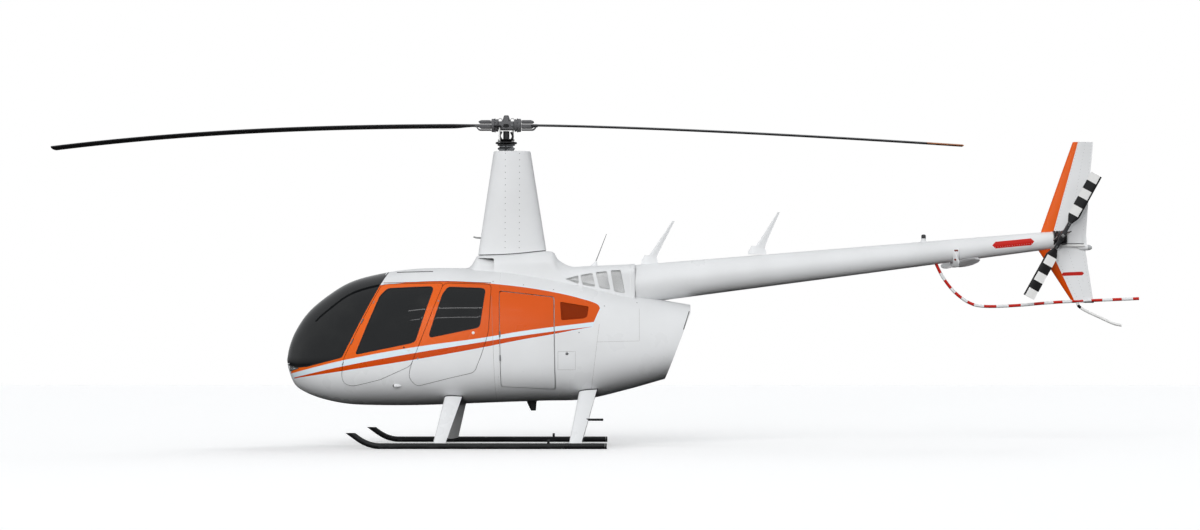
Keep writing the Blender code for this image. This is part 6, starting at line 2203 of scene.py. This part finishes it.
def seat_place(x, y, z, lean):
    return Matrix.Translation((x, y, z)) @ Matrix.Rotation(math.radians(lean), 4, "Y")


def mirrored(source, name):
    """A copy on the other side of the centre plane, with its faces turned to point outwards again."""
    made = copy_of(source, name)
    made.data.transform(Matrix.Diagonal((1, -1, 1, 1)))
    made.data.flip_normals()
    return made


def build_seats():
    """Seat frames with padded seat and back cushions."""
    # Side views of what is cut out of the solid seats, to make room for the cushions
    front = ((-2.4, 0.80), (-1.838, 0.80), (-1.695, 1.47), (-2.4, 1.47))
    rear = ((-1.7, 0.80), (-1.132, 0.80), (-1.098, 1.50), (-1.7, 1.50))
    for name, line in (("seat_front_left", front), ("seat_front_right", front), ("seat_rear", rear)):
        base = smooth_copy(name)
        carve(base, prism("cutter", line, -0.8, 0.8))
        base.name = f"{name}_frame"
        dress(base, dark_plastic, "seat_leather", name)
    lines = (-0.11, 0.0, 0.11)
    seat = cushion("front_seat_cushion_left", (-0.160, -0.225, -0.058), (0.160, 0.225, 0.058),
                   seat_place(-2.084, -0.305, 0.880, 4.5), (0, 0, 1), lines)
    back = cushion("front_back_cushion_left", (-0.025, -0.225, -0.225), (0.025, 0.225, 0.225),
                   seat_place(-1.792, -0.305, 1.195, 15.3), (-1, 0, 0), lines, reach=0.009)
    for made in (seat, back):
        other = mirrored(made, made.name.replace("left", "right"))
        seat_padded(made)
        seat_padded(other)
    lines = (-0.36, -0.18, 0.0, 0.18, 0.36)
    seat_padded(cushion("rear_seat_cushion", (-0.155, -0.545, -0.058), (0.155, 0.545, 0.058),
                        seat_place(-1.385, 0, 0.885, 2.5), (0, 0, 1), lines, 0.012))
    seat_padded(cushion("rear_back_cushion", (-0.022, -0.535, -0.225), (0.022, 0.535, 0.225),
                        seat_place(-1.149, 0, 1.200, 4.4), (-1, 0, 0), lines, 0.012, 0.008))


def build_panel():
    """Round dials in bezels on the rear face of the instrument panel."""
    pieces = []
    out = Vector((0.36, 0, -0.04)).normalized()
    dial_rows = ((0.87, (-0.05, 0.05)), (0.96, (-0.05, 0.05)), (1.05, (-0.088, 0.0, 0.088)),
                 (1.13, (-0.088, 0.0, 0.088)))
    for row, (z, across) in enumerate(dial_rows):
        for y in across:
            spot = Vector((-2.74 + 0.04 * (z - 0.80) / 0.36, y, z))
            bezel = capped((0, 0.037), (0.005, 0.037), (0.007, 0.034), (0.004, 0.031))
            pieces.append(finished(turned("bezel", bezel, spot, out, 32), rubber_seal))
            needle = Vector((0, math.sin(row + 9 * y), math.cos(row + 9 * y))) * 0.024
            start = spot + out * 0.0055
            pointer = swept("needle", [start - needle * 0.2, start + needle], 0.0013, 6)
            pieces.append(finished(pointer, tail_white_paint))
    settle(joined("panel_dials", pieces), "dark_plastic")


def build_inside():
    """Gives the pieces inside the cabin their finishes."""
    for name, finish, slot in (
        ("cabin_floor", cabin_trim, "dark_plastic"), ("baggage_floor", dark_inside_and_painted_shade, "dark_plastic"),
        ("instrument_panel", dark_plastic, "dark_plastic"), ("cyclic_control", dark_plastic, "dark_plastic"),
        ("engine_block", dark_steel, "bare_steel"),
    ):
        dress(smooth_copy(name), finish, slot, name)


def main():
    build_camera()
    build_floor()
    build_surround()
    build_lights()
    build_cabin()
    build_aft_cowl()
    build_upper_cowl()
    build_intake_screens()
    build_mast_fairing()
    build_boom()
    build_tail()
    build_main_blades()
    build_rotor_head()
    build_tail_rotor()
    build_gear()
    build_antennas()
    build_exhaust()
    build_hull_details()
    build_inside()
    build_panel()
    build_seats()


main()
